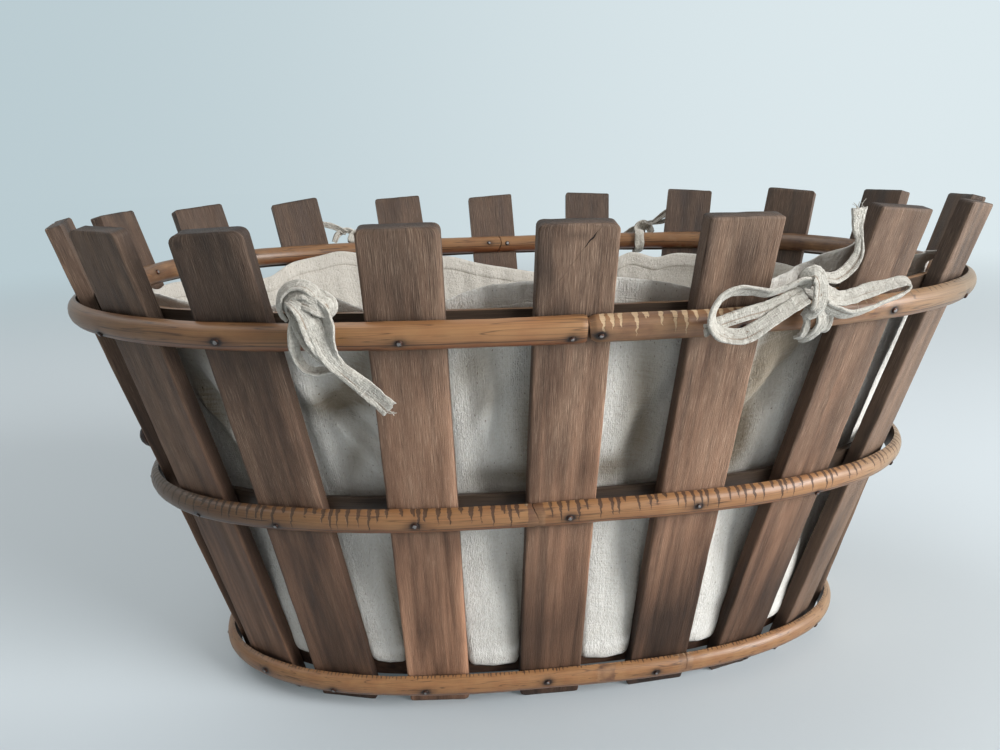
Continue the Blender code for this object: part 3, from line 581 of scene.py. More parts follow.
def linen(name, colours, colour, shade, thread, slub, hem=0.0):
    """Unbleached linen, plain woven of uneven hand-spun thread and washed to a crinkle, with chaff in it.

    The thread's spacing and the length of its thick places are in metres, as is the hem where there is one.
    """
    fleck_and_shade, brown = (*colours.linen_fleck_and_shade, 1), (*colours.linen_shade_brown, 1)
    made, tree, shader = begin(
        name, Roughness=0.92, Specular_IOR_Level=0.2, Sheen_Weight=0.2, Sheen_Roughness=0.5
    )
    uv = add(tree, "UVMap", uv_map="UVMap")
    apart = add(tree, "SeparateXYZ", {"Vector": uv})
    seam, fold, shade_share = (
        add(tree, "Attribute", attribute_name=layer).outputs["Fac"] for layer in ("seam", "fold", "shade_share")
    )
    weave = add(tree, "Mapping", {"Vector": uv, "Scale": (1 / thread, 1 / thread, 1)})
    # The threads, at their spacing: a wave's scale of 0.314 gives one band for each unit
    bands = {"Vector": weave, "Scale": 0.314, "Distortion": 3.5, "Detail": 2.0, "Detail Scale": 0.7}
    warp, weft = (add(tree, "TexWave", bands, bands_direction=way) for way in ("X", "Y"))
    threads = add(tree, "Math", {0: warp.outputs["Fac"], 1: weft.outputs["Fac"]}, operation="ADD")
    # The crinkle of washed cloth: small lumps drawn out along the warp, and softer ones of 6 mm
    crinkle_place = add(tree, "Mapping", {"Vector": uv, "Scale": (1 / 0.0013, 1 / 0.0022, 1)})
    crinkle = {"Vector": crinkle_place, "Scale": 1.0, "Detail": 3.0, "Roughness": 0.65, "Distortion": 0.8}
    crinkle = add(tree, "TexNoise", crinkle)
    soft = add(tree, "TexNoise", {"Vector": uv, "Scale": 1 / 0.006, "Detail": 2.0})
    slub_up = add(tree, "Mapping", {"Vector": uv, "Scale": (1 / (1.3 * thread), 1 / slub, 1)})
    slubs = add(tree, "TexNoise", {"Vector": slub_up, "Scale": 1.0, "Detail": 2.0})
    slub_over = add(tree, "Mapping", {"Vector": uv, "Scale": (1 / slub, 1 / (1.3 * thread), 1)})
    slubs_over = add(tree, "TexNoise", {"Vector": slub_over, "Scale": 1.0, "Detail": 2.0})
    both = add(tree, "Math", {0: slubs, 1: slubs_over}, operation="ADD")
    both = add(tree, "Math", {0: both, 1: 0.35, 2: crinkle}, operation="MULTIPLY_ADD")
    spread = add(tree, "MapRange", {"Value": both, "From Min": 0.5, "From Max": 1.0})
    cloth = add(tree, "ValToRGB", {"Fac": spread}, stops=[(0.0, tuple(shade)), (1.0, tuple(colour))])
    # Chaff, up to 1.2 by 2.6 mm
    chaff_place = add(tree, "Mapping", {"Vector": uv, "Scale": (1 / 0.0012, 1 / 0.0026, 1)})
    chaff = add(tree, "TexNoise", {"Vector": chaff_place, "Scale": 1.0, "Detail": 1.0})
    chaff = add(tree, "ValToRGB", {"Fac": chaff}, stops=[(0.70, 0.0), (0.75, 0.7)])
    cloth = add(tree, "Mix", {0: chaff, 6: cloth, 7: fleck_and_shade}, data_type="RGBA")
    clouds = add(tree, "TexNoise", {"Vector": uv, "Scale": 1 / 0.05, "Detail": 3.0})
    clouds = add(tree, "ValToRGB", {"Fac": clouds}, stops=[(0.3, 0.88), (0.7, 1.04)])
    cloth = add(tree, "Mix", {0: 1.0, 6: cloth, 7: clouds}, data_type="RGBA", blend_type="MULTIPLY")
    # Painted shade in warm brown, in the bag's folds and where it turns from the light, more so along the
    # thick threads
    painted_shade = add(tree, "Math", {0: slubs_over, 1: 0.5, 2: 0.75}, operation="MULTIPLY_ADD")
    painted_shade = add(tree, "Math", {0: painted_shade, 1: shade_share}, operation="MULTIPLY", use_clamp=True)
    damp = add(tree, "Mix", {0: 1.0, 6: cloth, 7: brown}, data_type="RGBA", blend_type="MULTIPLY")
    cloth = add(tree, "Mix", {0: painted_shade, 6: cloth, 7: damp}, data_type="RGBA")
    # The gathered seam is clean, and the line along a tape's fold is darkened with painted shade
    cloth = add(tree, "Mix", {0: seam, 6: cloth, 7: (*colour, 1)}, data_type="RGBA")
    folded = add(tree, "MapRange", {"Value": fold, "From Min": 0.45, "From Max": 0.85, "To Max": 0.6})
    cloth = add(tree, "Mix", {0: folded, 6: cloth, 7: fleck_and_shade}, data_type="RGBA")
    lift = add(tree, "Math", {0: soft, 1: 3.0, 2: both}, operation="MULTIPLY_ADD")
    lift = add(tree, "Math", {0: both, 1: 2.0, 2: lift}, operation="MULTIPLY_ADD")
    lift = add(tree, "Math", {0: threads, 1: 0.22, 2: lift}, operation="MULTIPLY_ADD")
    if hem:
        # The stitched line of the hem
        line = away(tree, apart.outputs[1], hem)
        line = add(tree, "MapRange", {"Value": line, "From Max": 0.0008, "To Min": 0.15, "To Max": 0.0})
        cloth = add(tree, "Mix", {0: line, 6: cloth, 7: fleck_and_shade}, data_type="RGBA")
        lift = add(tree, "Math", {0: line, 1: -4.0, 2: lift}, operation="MULTIPLY_ADD")
    bump = add(tree, "Bump", {"Height": lift, "Distance": 0.0005, "Strength": 0.7})
    join(tree, shader, Base_Color=cloth, Normal=bump)
    return made


# Properties


def length(name, description, default):
    """A length that a maker would change."""
    return bpy.props.FloatProperty(
        name=name, description=description, default=default, min=0.0, unit="LENGTH", precision=5
    )


def colour(name, description, code):
    """A colour that a maker would change."""
    return bpy.props.FloatVectorProperty(
        name=name, description=description, default=linear(code), min=0.0, max=1.0, size=3, subtype="COLOR"
    )


class BasketSizes(bpy.types.PropertyGroup):
    """Sizes of the basket's finer forms."""

    slat_edge: length("Slat edge", "How round the slats' front edges are worn", 1.5 * MM)
    slat_corner: length("Slat corner", "How round the slats' upper corners are", 1.6 * MM)
    hoop_step: length("Hoop step", "The spacing of the places that a hoop is bent through", 3.4 * MM)
    nail_head: length("Nail head", "The width of a nail's head", 3.6 * MM)
    bag_cloth: length("Bag cloth", "The thickness of the bag's linen", 0.9 * MM)
    bag_hem: length("Bag hem", "How far the bag's hem is turned down", 11 * MM)
    tape_cloth: length("Tape thickness", "The thickness of a folded tape", 1.7 * MM)


class BasketColours(bpy.types.PropertyGroup):
    """Colours of the basket's woods, cloth and iron."""

    slat_brown: colour("Slat brown", "The slats' light early wood", "#a0775d")
    slat_dark: colour("Slat dark", "The slats' dark late wood", "#745440")
    slat_fibre: colour("Slat fibre", "Raised pale fibres on the slats", "#c9ab92")
    slat_pore: colour("Slat pore", "Dirt between the slats' fibres", "#35251d")
    # Also the painted reflection of the window on the slats at the right end
    slat_grey_and_sheen: colour("Slat grey", "The slats where they have weathered", "#836c5a")
    rod_tan: colour("Rod tan", "The peeled side of the hoops", "#9b724b")
    rod_red: colour("Rod red", "The hoops' redder lower edge", "#7e4a2b")
    # A painted reflection of the window, on the hoops at the right end
    rod_sheen_colour: colour("Bleached rod", "The outer hoops where the sun has bleached them", "#9c8569")
    rod_crack: colour("Rod crack", "The cracks in the hoops' skin", "#3d271b")
    rod_pale: colour("Rod pale", "Bare wood where the bark has broken", "#cdb08c")
    bark_dark: colour("Bark dark", "Dark bark left on the hoops", "#6b4a35")
    bark_light: colour("Bark light", "Lighter bark left on the hoops", "#97714f")
    # Also painted shade, all round the middle inner hoop
    raw_grey: colour("Raw grey", "The sawn flat side of the rods", "#6a594a")
    # Also paints shade on the slats: beside the hoops and on their sides and back
    stain: colour("Iron stain", "Wood blackened round the nails", "#1f130e")
    iron: colour("Iron", "The nails and rivets", "#2a2625")
    # The nails' lighter crowns are partly a painted highlight
    iron_worn_highlight: colour("Worn iron", "The nails' rubbed crowns", "#8d8987")
    rust: colour("Rust", "The bloom on the nails and rivets", "#4b3024")
    linen: colour("Linen", "The bag's thick threads", "#ebe8e1")
    linen_shade: colour("Linen shade", "The bag's thin places", "#d9d3c7")
    # Also the painted shade along a tape's fold
    linen_fleck_and_shade: colour("Linen fleck", "Chaff spun into the linen", "#7a6046")
    # Painted shade: the warm brown painted into the bag's folds and where it turns from the light
    linen_shade_brown: colour("Browned linen", "What damp left in the bag's folds", "#a09586")
    tape: colour("Tape", "The tapes' thick threads", "#c9c5bb")
    tape_shade: colour("Tape shade", "The tapes' thin places", "#958d81")
    floor: colour("Table", "The table that the basket stands on", "#d6dee2")
    floor_shade: colour("Table's darker side", "The table in front, away from the window", "#c4ccd1")
    backdrop: colour("Backdrop", "The wall behind the table, on its light side", "#dde9ed")
    backdrop_shade: colour("Backdrop shade", "The wall behind the table, on its dark side", "#bacbd1")


# The slats

# How far in from its right edge a slat was planed to a slope, and how deep, in millimetres
FACETS = {"slat_17": (5.0, 1.6), "slat_18": (3.0, 1.2), "slat_03": (11.0, 2.0), "slat_04": (8.0, 1.6)}

# The round of a slat's left and right upper corner in millimetres, where the photograph shows it
CORNERS = {"slat_16": (5.5, 3.5), "slat_17": (6.5, 4.5), "slat_18": (3.5, 4.0), "slat_01": (3.4, 4.4)}

# Dark stains on the front slats: how far right of the middle and down from the top, half their width and
# height, all in millimetres, and how strong
SPOTS = {
    "slat_17": [(-14, 5, 2.5, 2.5, 0.7), (-17, 25, 3, 18, 0.4), (6, 90, 6, 30, 0.25)],
    "slat_18": [(-17, 30, 2.5, 22, 0.35), (4, 16, 5, 10, 0.25), (-10, 250, 6, 30, 0.3)],
    "slat_01": [
        (-1, 6, 7, 2.5, 0.55), (-18, 24, 2.5, 22, 0.6), (-13, 24, 2, 8, 0.45), (-5, 42, 5, 9, 0.45),
        (-9, 85, 6, 22, 0.3), (-16, 150, 3, 40, 0.35), (-10, 230, 7, 40, 0.3),
    ],
    "slat_02": [
        (-17.5, 40, 2.5, 40, 0.5), (-15, 95, 3.5, 24, 0.5), (9, 20, 4, 14, 0.25), (-17, 200, 3, 60, 0.4),
    ],
    "slat_03": [(-16.5, 90, 3, 70, 0.45), (2, 140, 7, 20, 0.25)],
}

# Where the right end of the basket is painted greyer and paler, a painted reflection of the window: the x
# where that starts, over what length, and how much
SLATS_WINDOW_SHEEN = (130 * MM, 60 * MM, 0.85)
HOOPS_WINDOW_SHEEN = (160 * MM, 80 * MM, 0.8)

# How much darker or lighter a slat is than plain wood at its foot, its middle and its top, and how far up
# these are
TONE_HEIGHTS = (60 * MM, 130 * MM, 215 * MM, 275 * MM)
# The tones are partly painted shade: the slats on the left, turned from the window, are painted darker.
SLAT_TONES = {
    "slat_16": (-0.35, -0.45, -0.50), "slat_17": (-0.66, -0.47, -0.68), "slat_18": (0.12, -0.12, -0.37),
    "slat_01": (-0.60, -0.08, -0.30), "slat_02": (-0.76, -0.08, -0.26), "slat_03": (-0.70, -0.27, -0.36),
    "slat_04": (-0.40, -0.25, -0.33), "slat_15": (-0.30, -0.24, -0.25),
}


def slat_tone(name, height, across, seed):
    """How much darker or lighter a slat is at places on it."""
    rng = np.random.default_rng(seed + 400)
    usual = (rng.uniform(-0.45, -0.2), rng.uniform(-0.3, -0.1), rng.uniform(-0.45, -0.3))
    foot, middle, top = SLAT_TONES.get(name, usual)
    tone = np.interp(height, TONE_HEIGHTS, (foot, middle, middle, top))
    # The board in the middle is darker on its left side
    if name == "slat_01":
        tone = tone + 0.16 * across / (SLAT_WIDTH / 2)
    # Two lengthwise bands, one darker and one lighter
    for step in (-0.10, 0.08):
        middle, wide = rng.uniform(-14, 14) * MM, rng.uniform(3, 8) * MM
        middle = middle + 3 * MM * rough(np.stack([0 * height, height, 0 * height], -1), 0.11, seed + 31)
        tone = tone + step / (1 + np.exp((np.abs(across - middle) - wide) / (0.8 * MM)))
    return tone


def slat_stain_and_shade(name, grid, aside, height, top, up, facing, seed):
    """How black a slat is, from 0 to 1, at places on it, its stains and painted shade together: facing is 1
    on its front and 0 elsewhere.
    """
    # Dark beside the hoops, partly dirt and partly painted shade, with a narrow band of painted shade right
    # at each hoop that darkens the gaps at their joints; at the foot and the top; in blotches; and painted
    # shade on the board's sides and back
    hoops = [level for level, _, _ in OUTER_HOOPS.values()]
    near = sum(np.exp(-(((height - z / up[2]) / (9 * MM)) ** 2)) for z in hoops)
    stain = 0.36 * facing * near * (0.6 + 0.4 * rough(grid, 0.012, seed + 5))
    stain += 0.6 * facing * sum(np.exp(-(((height - z / up[2]) / (6 * MM)) ** 4)) for z in hoops)
    stain += 0.75 * np.exp(-height / (8 * MM)) + 0.45 * np.exp(-(top - height) / (0.7 * MM))
    stain += np.clip(1.1 * rough(grid * np.array([1, 0.3, 1]), 0.016, seed + 21) - 0.28, 0, 0.55)
    stain += (1 - facing) * 0.6
    for right, down, wide, tall, strength in SPOTS.get(name, ()):
        off = ((aside - right * MM) / (wide * MM)) ** 2 + ((top - height - down * MM) / (tall * MM)) ** 2
        stain += strength * facing * np.exp(-off) * (1 + 0.5 * rough(grid, 0.005, seed + 41))
    return np.clip(stain, 0, 1)


def board_outline():
    """Points round a board from its front's left edge: how far across, how deep, and 1 if on its front."""
    near_edge = np.array([0.92, 0.96, 0.985, 1])
    front = np.concatenate([-near_edge[::-1], np.linspace(-0.86, 0.86, 19), near_edge])
    back = np.linspace(1, -1, 8)
    across = np.concatenate([front, [1, 1], back, [-1, -1, -1]])
    deep = np.concatenate([0 * front, [0.35, 0.7], 1 + 0 * back, [0.7, 0.35, 0]])
    facing = np.concatenate([1 + 0 * front, np.zeros(len(across) - len(front))])
    facing[-1] = 1
    return across, deep, facing


def slat_relief(name, edge, grid, aside, height, inwards, top, half, facing, seed):
    """How far in from the flat face a slat's skin is, worn at its edges: facing is 1 on its front."""
    inner = half - np.abs(aside)
    wear = edge * (1 + 0.6 * rough(grid, 0.02, seed + 3))
    rounded = wear - np.sqrt(np.maximum(wear**2 - np.clip(wear - inner, 0, wear) ** 2, 0))
    edge_top = np.clip(0.9 * MM - (top - height), 0, 0.9 * MM)
    edge_foot = np.clip(1.2 * MM - height, 0, 1.2 * MM)
    sunk = facing * (rounded + 0.6 * edge_top + 0.5 * edge_foot)
    sunk += facing * 0.18 * MM * (1 + rough(grid * np.array([1, 0.18, 1]), 0.006, seed + 7))
    sunk += facing * 0.30 * MM * (1 + rough(grid * np.array([1, 0.4, 1]), 0.025, seed + 11))
    if name in FACETS:
        wide, drop = (value * MM for value in FACETS[name])
        sunk += facing * drop * np.clip(1 - (half - aside) / wide, 0, 1)
    rubbed = 0.5 * np.clip(1.4 * MM - (top - height), 0, 1.4 * MM)
    sunk = sunk - np.where((facing < 1) & (inwards > 0.99), rubbed, 0)
    return np.maximum(sunk, inwards * SLAT_THICKNESS + np.minimum(sunk, 0))


def make_slat(name, sizes, material, seed):
    """One board: a worn front face, round upper corners, a sawn foot."""
    origin, side, out, up, top, width = slat_face(name)
    rng = np.random.default_rng(seed)
    half = width / 2
    across, deep, facing = board_outline()
    top = top - rng.uniform(0.2, 1.6) * MM
    ends = top / MM - np.array([9, 6, 4, 2.6, 1.5, 0.8, 0.3, 0])
    heights = np.concatenate([[0, 0.6, 1.5, 3, 5, 8], np.arange(12, top / MM - 11, 4.2), ends]) * MM
    height, x = np.meshgrid(heights, across, indexing="ij")
    inwards = np.broadcast_to(deep, height.shape)
    facing = np.broadcast_to(facing, height.shape)
    corner = sizes.slat_corner * rng.uniform(0.7, 1.4, 2)
    if name in CORNERS:
        corner = np.array(CORNERS[name]) * MM
    foot = rng.uniform(2.5, 5.0, 2) * MM
    corners = np.where(x > 0, corner[1], corner[0])
    feet = np.where(x > 0, foot[1], foot[0])
    above = np.clip(height - (top - corners), 0, corners)
    below = np.clip(feet - height, 0, feet)
    narrower = corners - np.sqrt(np.maximum(corners**2 - above**2, 0))
    narrower = narrower + 0.8 * (feet - np.sqrt(feet**2 - below**2))
    grid = np.stack([x * half, height, inwards * SLAT_THICKNESS], -1)
    bow = 0.35 * MM * rough(np.stack([0 * height, height, 0 * height], -1), 0.09, seed) - 0.25 * MM
    aside = x * (half - narrower * np.abs(x)) + bow * x
    depth = slat_relief(name, sizes.slat_edge, grid, aside, height, inwards, top, half, facing, seed)
    # The sawn top is a little uneven
    tilt = rng.uniform(-0.5, 0.5) * MM * x - 0.5 * MM
    tilt = tilt + 0.25 * MM * rough(grid * np.array([1, 0, 0]), 0.006, seed + 13)
    high = height + tilt * np.clip((height - top + 9 * MM) / (9 * MM), 0, 1)
    places = origin + side * aside[..., None] - out * depth[..., None] + up * high[..., None]
    # The foot is sawn level: what would reach below the ground is pressed up to it
    lowest = 0.02 * MM * np.arange(len(heights))[:, None]
    lowest[0] = 0
    lift = np.maximum(lowest - places[..., 2], 0)
    lift[0] = -places[0, :, 2]
    places = places + up * (lift / up[2])[..., None]
    # The board's own skin laid flat, each board at its own place in the grain
    steps = np.abs(np.diff(across)) * half + np.abs(np.diff(deep)) * SLAT_THICKNESS
    round_it = np.concatenate([[0.0], np.cumsum(steps)])
    u = np.broadcast_to(round_it + GRAIN_STEP * seed, height.shape)
    uvs = np.stack([u, height], -1)
    # A painted reflection of the window, greyer towards the right end
    first, over, share = SLATS_WINDOW_SHEEN
    slat_window_sheen = share * np.clip((places[..., 0] - first) / over, 0, 1)
    stain = slat_stain_and_shade(name, grid, aside, height, top, up, facing, seed)
    layers = {"stain": stain, "tone": slat_tone(name, height, aside, seed), "slat_window_sheen": slat_window_sheen}
    work = placed_sheet(places, uvs, closed=True, capped=True, layers=layers)
    return finish_piece("board_" + name, work, material, [name], smooth_under=50)


# The hoops

# How many steps a rod's round side has
ROD_STEPS = 14


def rod_section(depth, height):
    """A split rod's outline from its lower edge: how far out and up each point is, and how far round."""
    angle = np.linspace(-math.pi / 2, math.pi / 2, ROD_STEPS + 1)
    x = depth * np.abs(np.cos(angle)) ** 0.9
    y = height / 2 * np.sin(angle)
    x = np.concatenate([x, [0, 0, 0, 0, 0]])
    y = np.concatenate([y, [0.49 * height, height / 6, -height / 6, -0.49 * height, -height / 2]])
    x[0] = x[ROD_STEPS] = x[-1] = 0
    reached = np.concatenate([[0.0], np.cumsum(np.hypot(np.diff(x), np.diff(y)))])
    return x, y, reached


def make_hoop(name, line, long, joint, section, lean, paint, material, step, way=1, closer=1.0):
    """A rod bent along a line of places from one side of its joint to the other."""
    x, y, round_it = section
    s = np.union1d(np.linspace(0, long, round(long / step)), np.array(paint["stations"]))
    s = s[np.concatenate([[True], np.diff(s) > 0.25 * MM])]
    level = y / (y.max() - y.min())
    # Its two ends are cut aslant or to a curve, which dies away along it
    shift = np.zeros((len(s), len(x)))
    for (slope, bow), gap in zip(lean, (s, long - s)):
        cut = slope * level + bow * (1 - np.abs(2 * level) ** 1.5)
        shift += np.exp(-gap / (9 * MM))[:, None] * cut[None, :]
    along = joint + s[:, None] + shift
    point, _, out, up = line(along)
    seed = paint["seed"]
    where = np.stack([s, 0 * s, 0 * s], -1)
    wider = 1 + 0.06 * rough(where, 0.045, seed) + 0.03 * rough(where, 0.012, seed + 2)
    deeper = 1 + 0.07 * rough(where, 0.050, seed + 4) - 0.03
    sway = 0.7 * MM * rough(where, 0.11, seed + 6)
    skin = 0.16 * MM * rough(point, 0.006, seed + 8) * (x > 0)
    # The rod's ends are worn round, the first one more
    worn = np.exp(-((s / (2.0 * MM)) ** 2)) + 0.3 * np.exp(-(((long - s) / (1.4 * MM)) ** 2))
    worn = 1 - paint["worn"] * worn
    wider, deeper = wider * worn, deeper * worn
    xs = x[None, :] * deeper[:, None] + skin
    ys = y[None, :] * wider[:, None] + sway[:, None]
    for place, slope, high in paint["ridges"]:
        off = (along - place - slope * y[None, :]) / (1.6 * MM)
        xs = xs + high * np.exp(-(off**2)) * (x > 0.5 * MM)
    places = point + way * out * xs[..., None] + up * ys[..., None]
    u = np.broadcast_to(closer * s[:, None], xs.shape) + 2.1 * seed
    uvs = np.stack([u, np.broadcast_to(round_it, xs.shape)], -1)
    flat = np.zeros(len(x))
    flat[ROD_STEPS + 1 : -1] = 1
    stain = paint["stain"](along, y[None, :] + sway[:, None] + 0 * along)
    for place, slope, _ in paint["ridges"]:
        stain = stain + np.exp(-(((along - place - slope * y[None, :]) / (1.3 * MM)) ** 2))
    # The painted reflection of the window leaves out the back
    first, over, share = HOOPS_WINDOW_SHEEN
    rod_window_sheen = share * np.clip((places[..., 0] - first) / over, 0, 1) * (places[..., 1] < 120 * MM)
    layers = {
        "rod_window_sheen": paint["rod_window_sheen"] * rod_window_sheen,
        "bark": np.clip(paint["bark"](along), 0, 1),
        "torn": paint["torn"](along),
        "tone": paint["tone"](along) + 0 * along,
        "level": np.broadcast_to(level + 0.5, xs.shape),
        "sawn_and_shade": np.broadcast_to(np.maximum(flat, paint["sawn_and_shade"]), xs.shape),
        "stain": np.clip(stain, 0, 1),
    }
    work = placed_sheet(places, uvs, closed=True, capped=True, layers=layers)
    return finish_piece(name + "_rod", work, material, [name], smooth_under=55)


# What is seen of each outer hoop, at millimetres along it: how much bark it kept, how far its skin has
# cracked down from its upper edge, how light it is, and its scars (where, slope, height). Then how its two
# ends are cut (slope and bow, in metres), the gap between them and how far that lies from the solid's (in
# millimetres), how much closer than usual its cracks come, and how far its ends are worn round
# The tones are partly painted shade: each hoop is darker towards its left end, turned from the window.
ROD_LOOKS = {
    "outer_hoop_rim": {
        "bark": [
            (-700, 0.3), (-340, 0.5), (-300, 0.1), (3, 0.05), (4, 1.0), (70, 0.9), (150, 0.6), (185, 0.35),
            (260, 0.1), (330, 0.5), (600, 0.3),
        ],
        "torn": [
            (-700, 0.1), (-400, 0.0), (3, 0.0), (4, 0.45), (60, 0.5), (105, 0.25), (200, 0.1), (260, 0.0),
            (600, 0.1),
        ],
        "tone": [
            (-700, -0.2), (-320, -0.45), (-240, -0.42), (-150, -0.20), (-60, 0.0), (0, 0.0), (90, 0.05),
            (150, 0.06), (190, -0.1), (230, -0.3), (260, -0.38), (330, -0.4), (600, -0.2),
        ],
        "ridges": [(-225.5, -0.55, 0.7)],
        "lean": ((-0.0018, -0.0002), (0.0006, -0.0003)),
        "gap": 1.5,
        "moved": 4.2,
        "closer": 1.0,
        "worn": 0.22,
    },
    "outer_hoop_middle": {
        "bark": [
            (-600, 0.3), (-250, 0.4), (-200, 0.1), (-26, 0.0), (-23, 0.9), (-17, 0.9), (-13, 0.0),
            (200, 0.0), (300, 0.3), (600, 0.3),
        ],
        "torn": [
            (-600, 0.4), (-230, 0.5), (-60, 0.7), (-30, 0.6), (-24, 0.0), (-14, 0.0), (-10, 0.5),
            (60, 0.45), (130, 0.65), (180, 0.4), (600, 0.4),
        ],
        "tone": [
            (-600, -0.3), (-240, -0.70), (-190, -0.60), (-100, -0.12), (60, 0.0), (150, 0.04), (190, 0.0),
            (230, -0.14), (280, -0.22), (600, -0.2),
        ],
        "ridges": [],
        "lean": ((0.0, 0.0030), (0.0, 0.0036)),
        "gap": 0.7,
        "moved": 3.0,
        "closer": 1.1,
        "worn": 0.06,
    },
    "outer_hoop_foot": {
        "bark": [
            (-500, 0.3), (20, 0.0), (27, 0.78), (33, 0.74), (39, 0.0), (74, 0.0), (81, 0.76), (85, 0.74),
            (91, 0.0), (200, 0.0), (500, 0.3),
        ],
        "torn": [
            (-500, 0.05), (-200, 0.035), (0, 0.03), (24, 0.0), (36, 0.0), (40, 0.03), (130, 0.025),
            (500, 0.05),
        ],
        "tone": [
            (-500, -0.2), (-180, -0.15), (-100, 0.0), (60, 0.0), (150, -0.06), (230, -0.12), (500, -0.2),
        ],
        "ridges": [],
        "lean": ((0.004, 0), (0.004, 0)),
        "gap": 0.3,
        "moved": 0.4,
        "closer": 2.2,
        "worn": 0.0,
    },
}
# How the two ends of an inner hoop are cut, and the gap between them
INNER_LEAN = ((-0.0018, -0.0027), (-0.0018, -0.0027))
INNER_GAP = 0.8 * MM
# Nails in the outer hoops as they were driven in front: millimetres along and up from the hoop's middle
SEEN_NAILS = {
    "outer_hoop_rim": [(-260, -3), (-179, -0.6), (-88, -1.3), (-5, -2.5), (9, -1.3), (82, -1), (174, 0)],
    "outer_hoop_middle": [(-165, -1.3), (-86, 0.6), (-1, 0.6), (73, 1.3), (154, -4.0), (232, -2.5)],
    "outer_hoop_foot": [
        (-197, 1.9), (-146, -1.9), (-86, 0), (-9, 2.5), (62, 0.6), (129, -4.2), (199, -2.5),
    ],
}
# The nails in the inner rim hoop that show at the back: millimetres along and up from the hoop's middle
INNER_NAILS = [(789.5, 0.5), (773, -0.3), (1119, 0.6)]
# How near to a nail that is seen no other is driven
NAILS_APART = 26 * MM


@lru_cache(maxsize=None)
def nails(hoop):
    """Where each nail of an outer hoop is: metres along it and up from its middle."""
    height, rise, _ = OUTER_HOOPS[hoop]
    long = girth(height)
    along = np.linspace(0, long, 1600, endpoint=False)
    points = climbed(wall(height, along), rise)[0]
    seen = [(a * MM, b * MM) for a, b in SEEN_NAILS[hoop]]
    driven = list(seen)
    for index, name in enumerate(SLATS):
        origin, _, _, up, _, _ = slat_face(name)
        middle = origin + up * (height / up[2])
        place = along[np.linalg.norm(points - middle, axis=1).argmin()]
        if min(abs((place - a + long / 2) % long - long / 2) for a, _ in seen) > NAILS_APART:
            higher = 1.6 * MM * math.sin(3.3 * index) - 1 * MM
            driven.append((place + 4 * MM * math.sin(5.1 * index), higher))
    return tuple(driven)


def nail_stain(hoop, wide, tall):
    """The black that iron leaves in a hoop beside its nails, drawn out along the grain."""
    long = girth(OUTER_HOOPS[hoop][0])

    def spread(along, level):
        total = np.zeros(np.broadcast(along, level).shape)
        for place, higher in nails(hoop):
            gap = (along - place + long / 2) % long - long / 2
            total += 0.8 * np.exp(-np.abs(gap / wide) - ((level - higher) / tall) ** 2)
            total += 0.7 * np.exp(-((gap / (2.8 * MM)) ** 2) - (((level - higher) / (2.6 * MM)) ** 2))
        return total

    return spread


def inner_stain(along, level):
    """The black beside the inner rim hoop's nails."""
    total = np.zeros(np.broadcast(along, level).shape)
    for place, higher in INNER_NAILS:
        beside, over = (along - place * MM) / (3.5 * MM), (level - higher * MM) / (2.2 * MM)
        total += np.exp(-np.abs(beside) - over**2)
    return total


def outer_hoop(name, step, material, seed):
    """A hoop outside the slats, painted as the photograph shows it."""
    height, rise, joint = OUTER_HOOPS[name]
    long = girth(height)
    look = ROD_LOOKS[name]
    joint += look["moved"] * MM
    gap = look["gap"] * MM
    # More places that it is bent through near its nails, its scars and its ends
    scars = [place * MM for place, _, _ in look["ridges"]]
    marks = [a for a, _ in nails(name)] + scars
    stations = [(a - joint) % long + d * MM for a in marks for d in (-8, -4, -1.5, 1.5, 4, 8)]
    stations += [(a - joint) % long + d * MM for a in scars for d in range(-6, 7)]
    stations += [d * MM for d in (0, 1, 2, 3, 5, 7)]
    stations += [long - gap - d * MM for d in (0, 1, 2, 3, 5, 7)]
    paint = {
        "stations": [s for s in stations if 0 <= s <= long - gap],
        "seed": seed,
        "rod_window_sheen": 1,
        "sawn_and_shade": 0,
        "worn": look["worn"],
        "ridges": [(place * MM, slope, high * MM) for place, slope, high in look["ridges"]],
        "stain": nail_stain(name, 5 * MM, 2.4 * MM),
    }
    for key in ("bark", "torn", "tone"):
        places, values = np.array(look[key], float).T
        paint[key] = lambda a, p=places * MM, v=values: np.interp(a, p, v, period=long)

    def line(along):
        point, side, out, up = climbed(wall(height, along), rise)
        return point - out * HOOP_DEPTH, side, out, up

    section = rod_section(HOOP_DEPTH, HOOP_HEIGHT)
    make_hoop(
        name, line, long - gap, joint, section, look["lean"], paint, material, step, closer=look["closer"]
    )


def inner_hoop(name, material, seed):
    """A hoop inside the slats, its round side inwards. The middle one is painted as dark all round as sawn
    wood: painted shade.
    """
    height, rise, joint = INNER_HOOPS[name]
    paint = {
        "stations": [],
        "seed": seed,
        "rod_window_sheen": 0,
        "sawn_and_shade": name == "inner_hoop_middle",
        "worn": 0.0,
        "ridges": [],
        "bark": lambda a: 0.35 + 0.3 * np.sin(13 * a),
        "torn": lambda a: 0.0 * a,
        "tone": lambda a: -0.28 + 0.06 * np.sin(11 * a),
        "stain": inner_stain,
    }

    def line(along):
        return climbed(inside(height, along, np.full(along.shape, CLEARANCE)), rise)

    section = rod_section(INNER_HOOP_DEPTH, INNER_HOOP_HEIGHT)
    make_hoop(
        name, line, girth(height) - INNER_GAP, joint + INNER_GAP / 2, section, INNER_LEAN, paint, material,
        4 * MM, way=-1,
    )


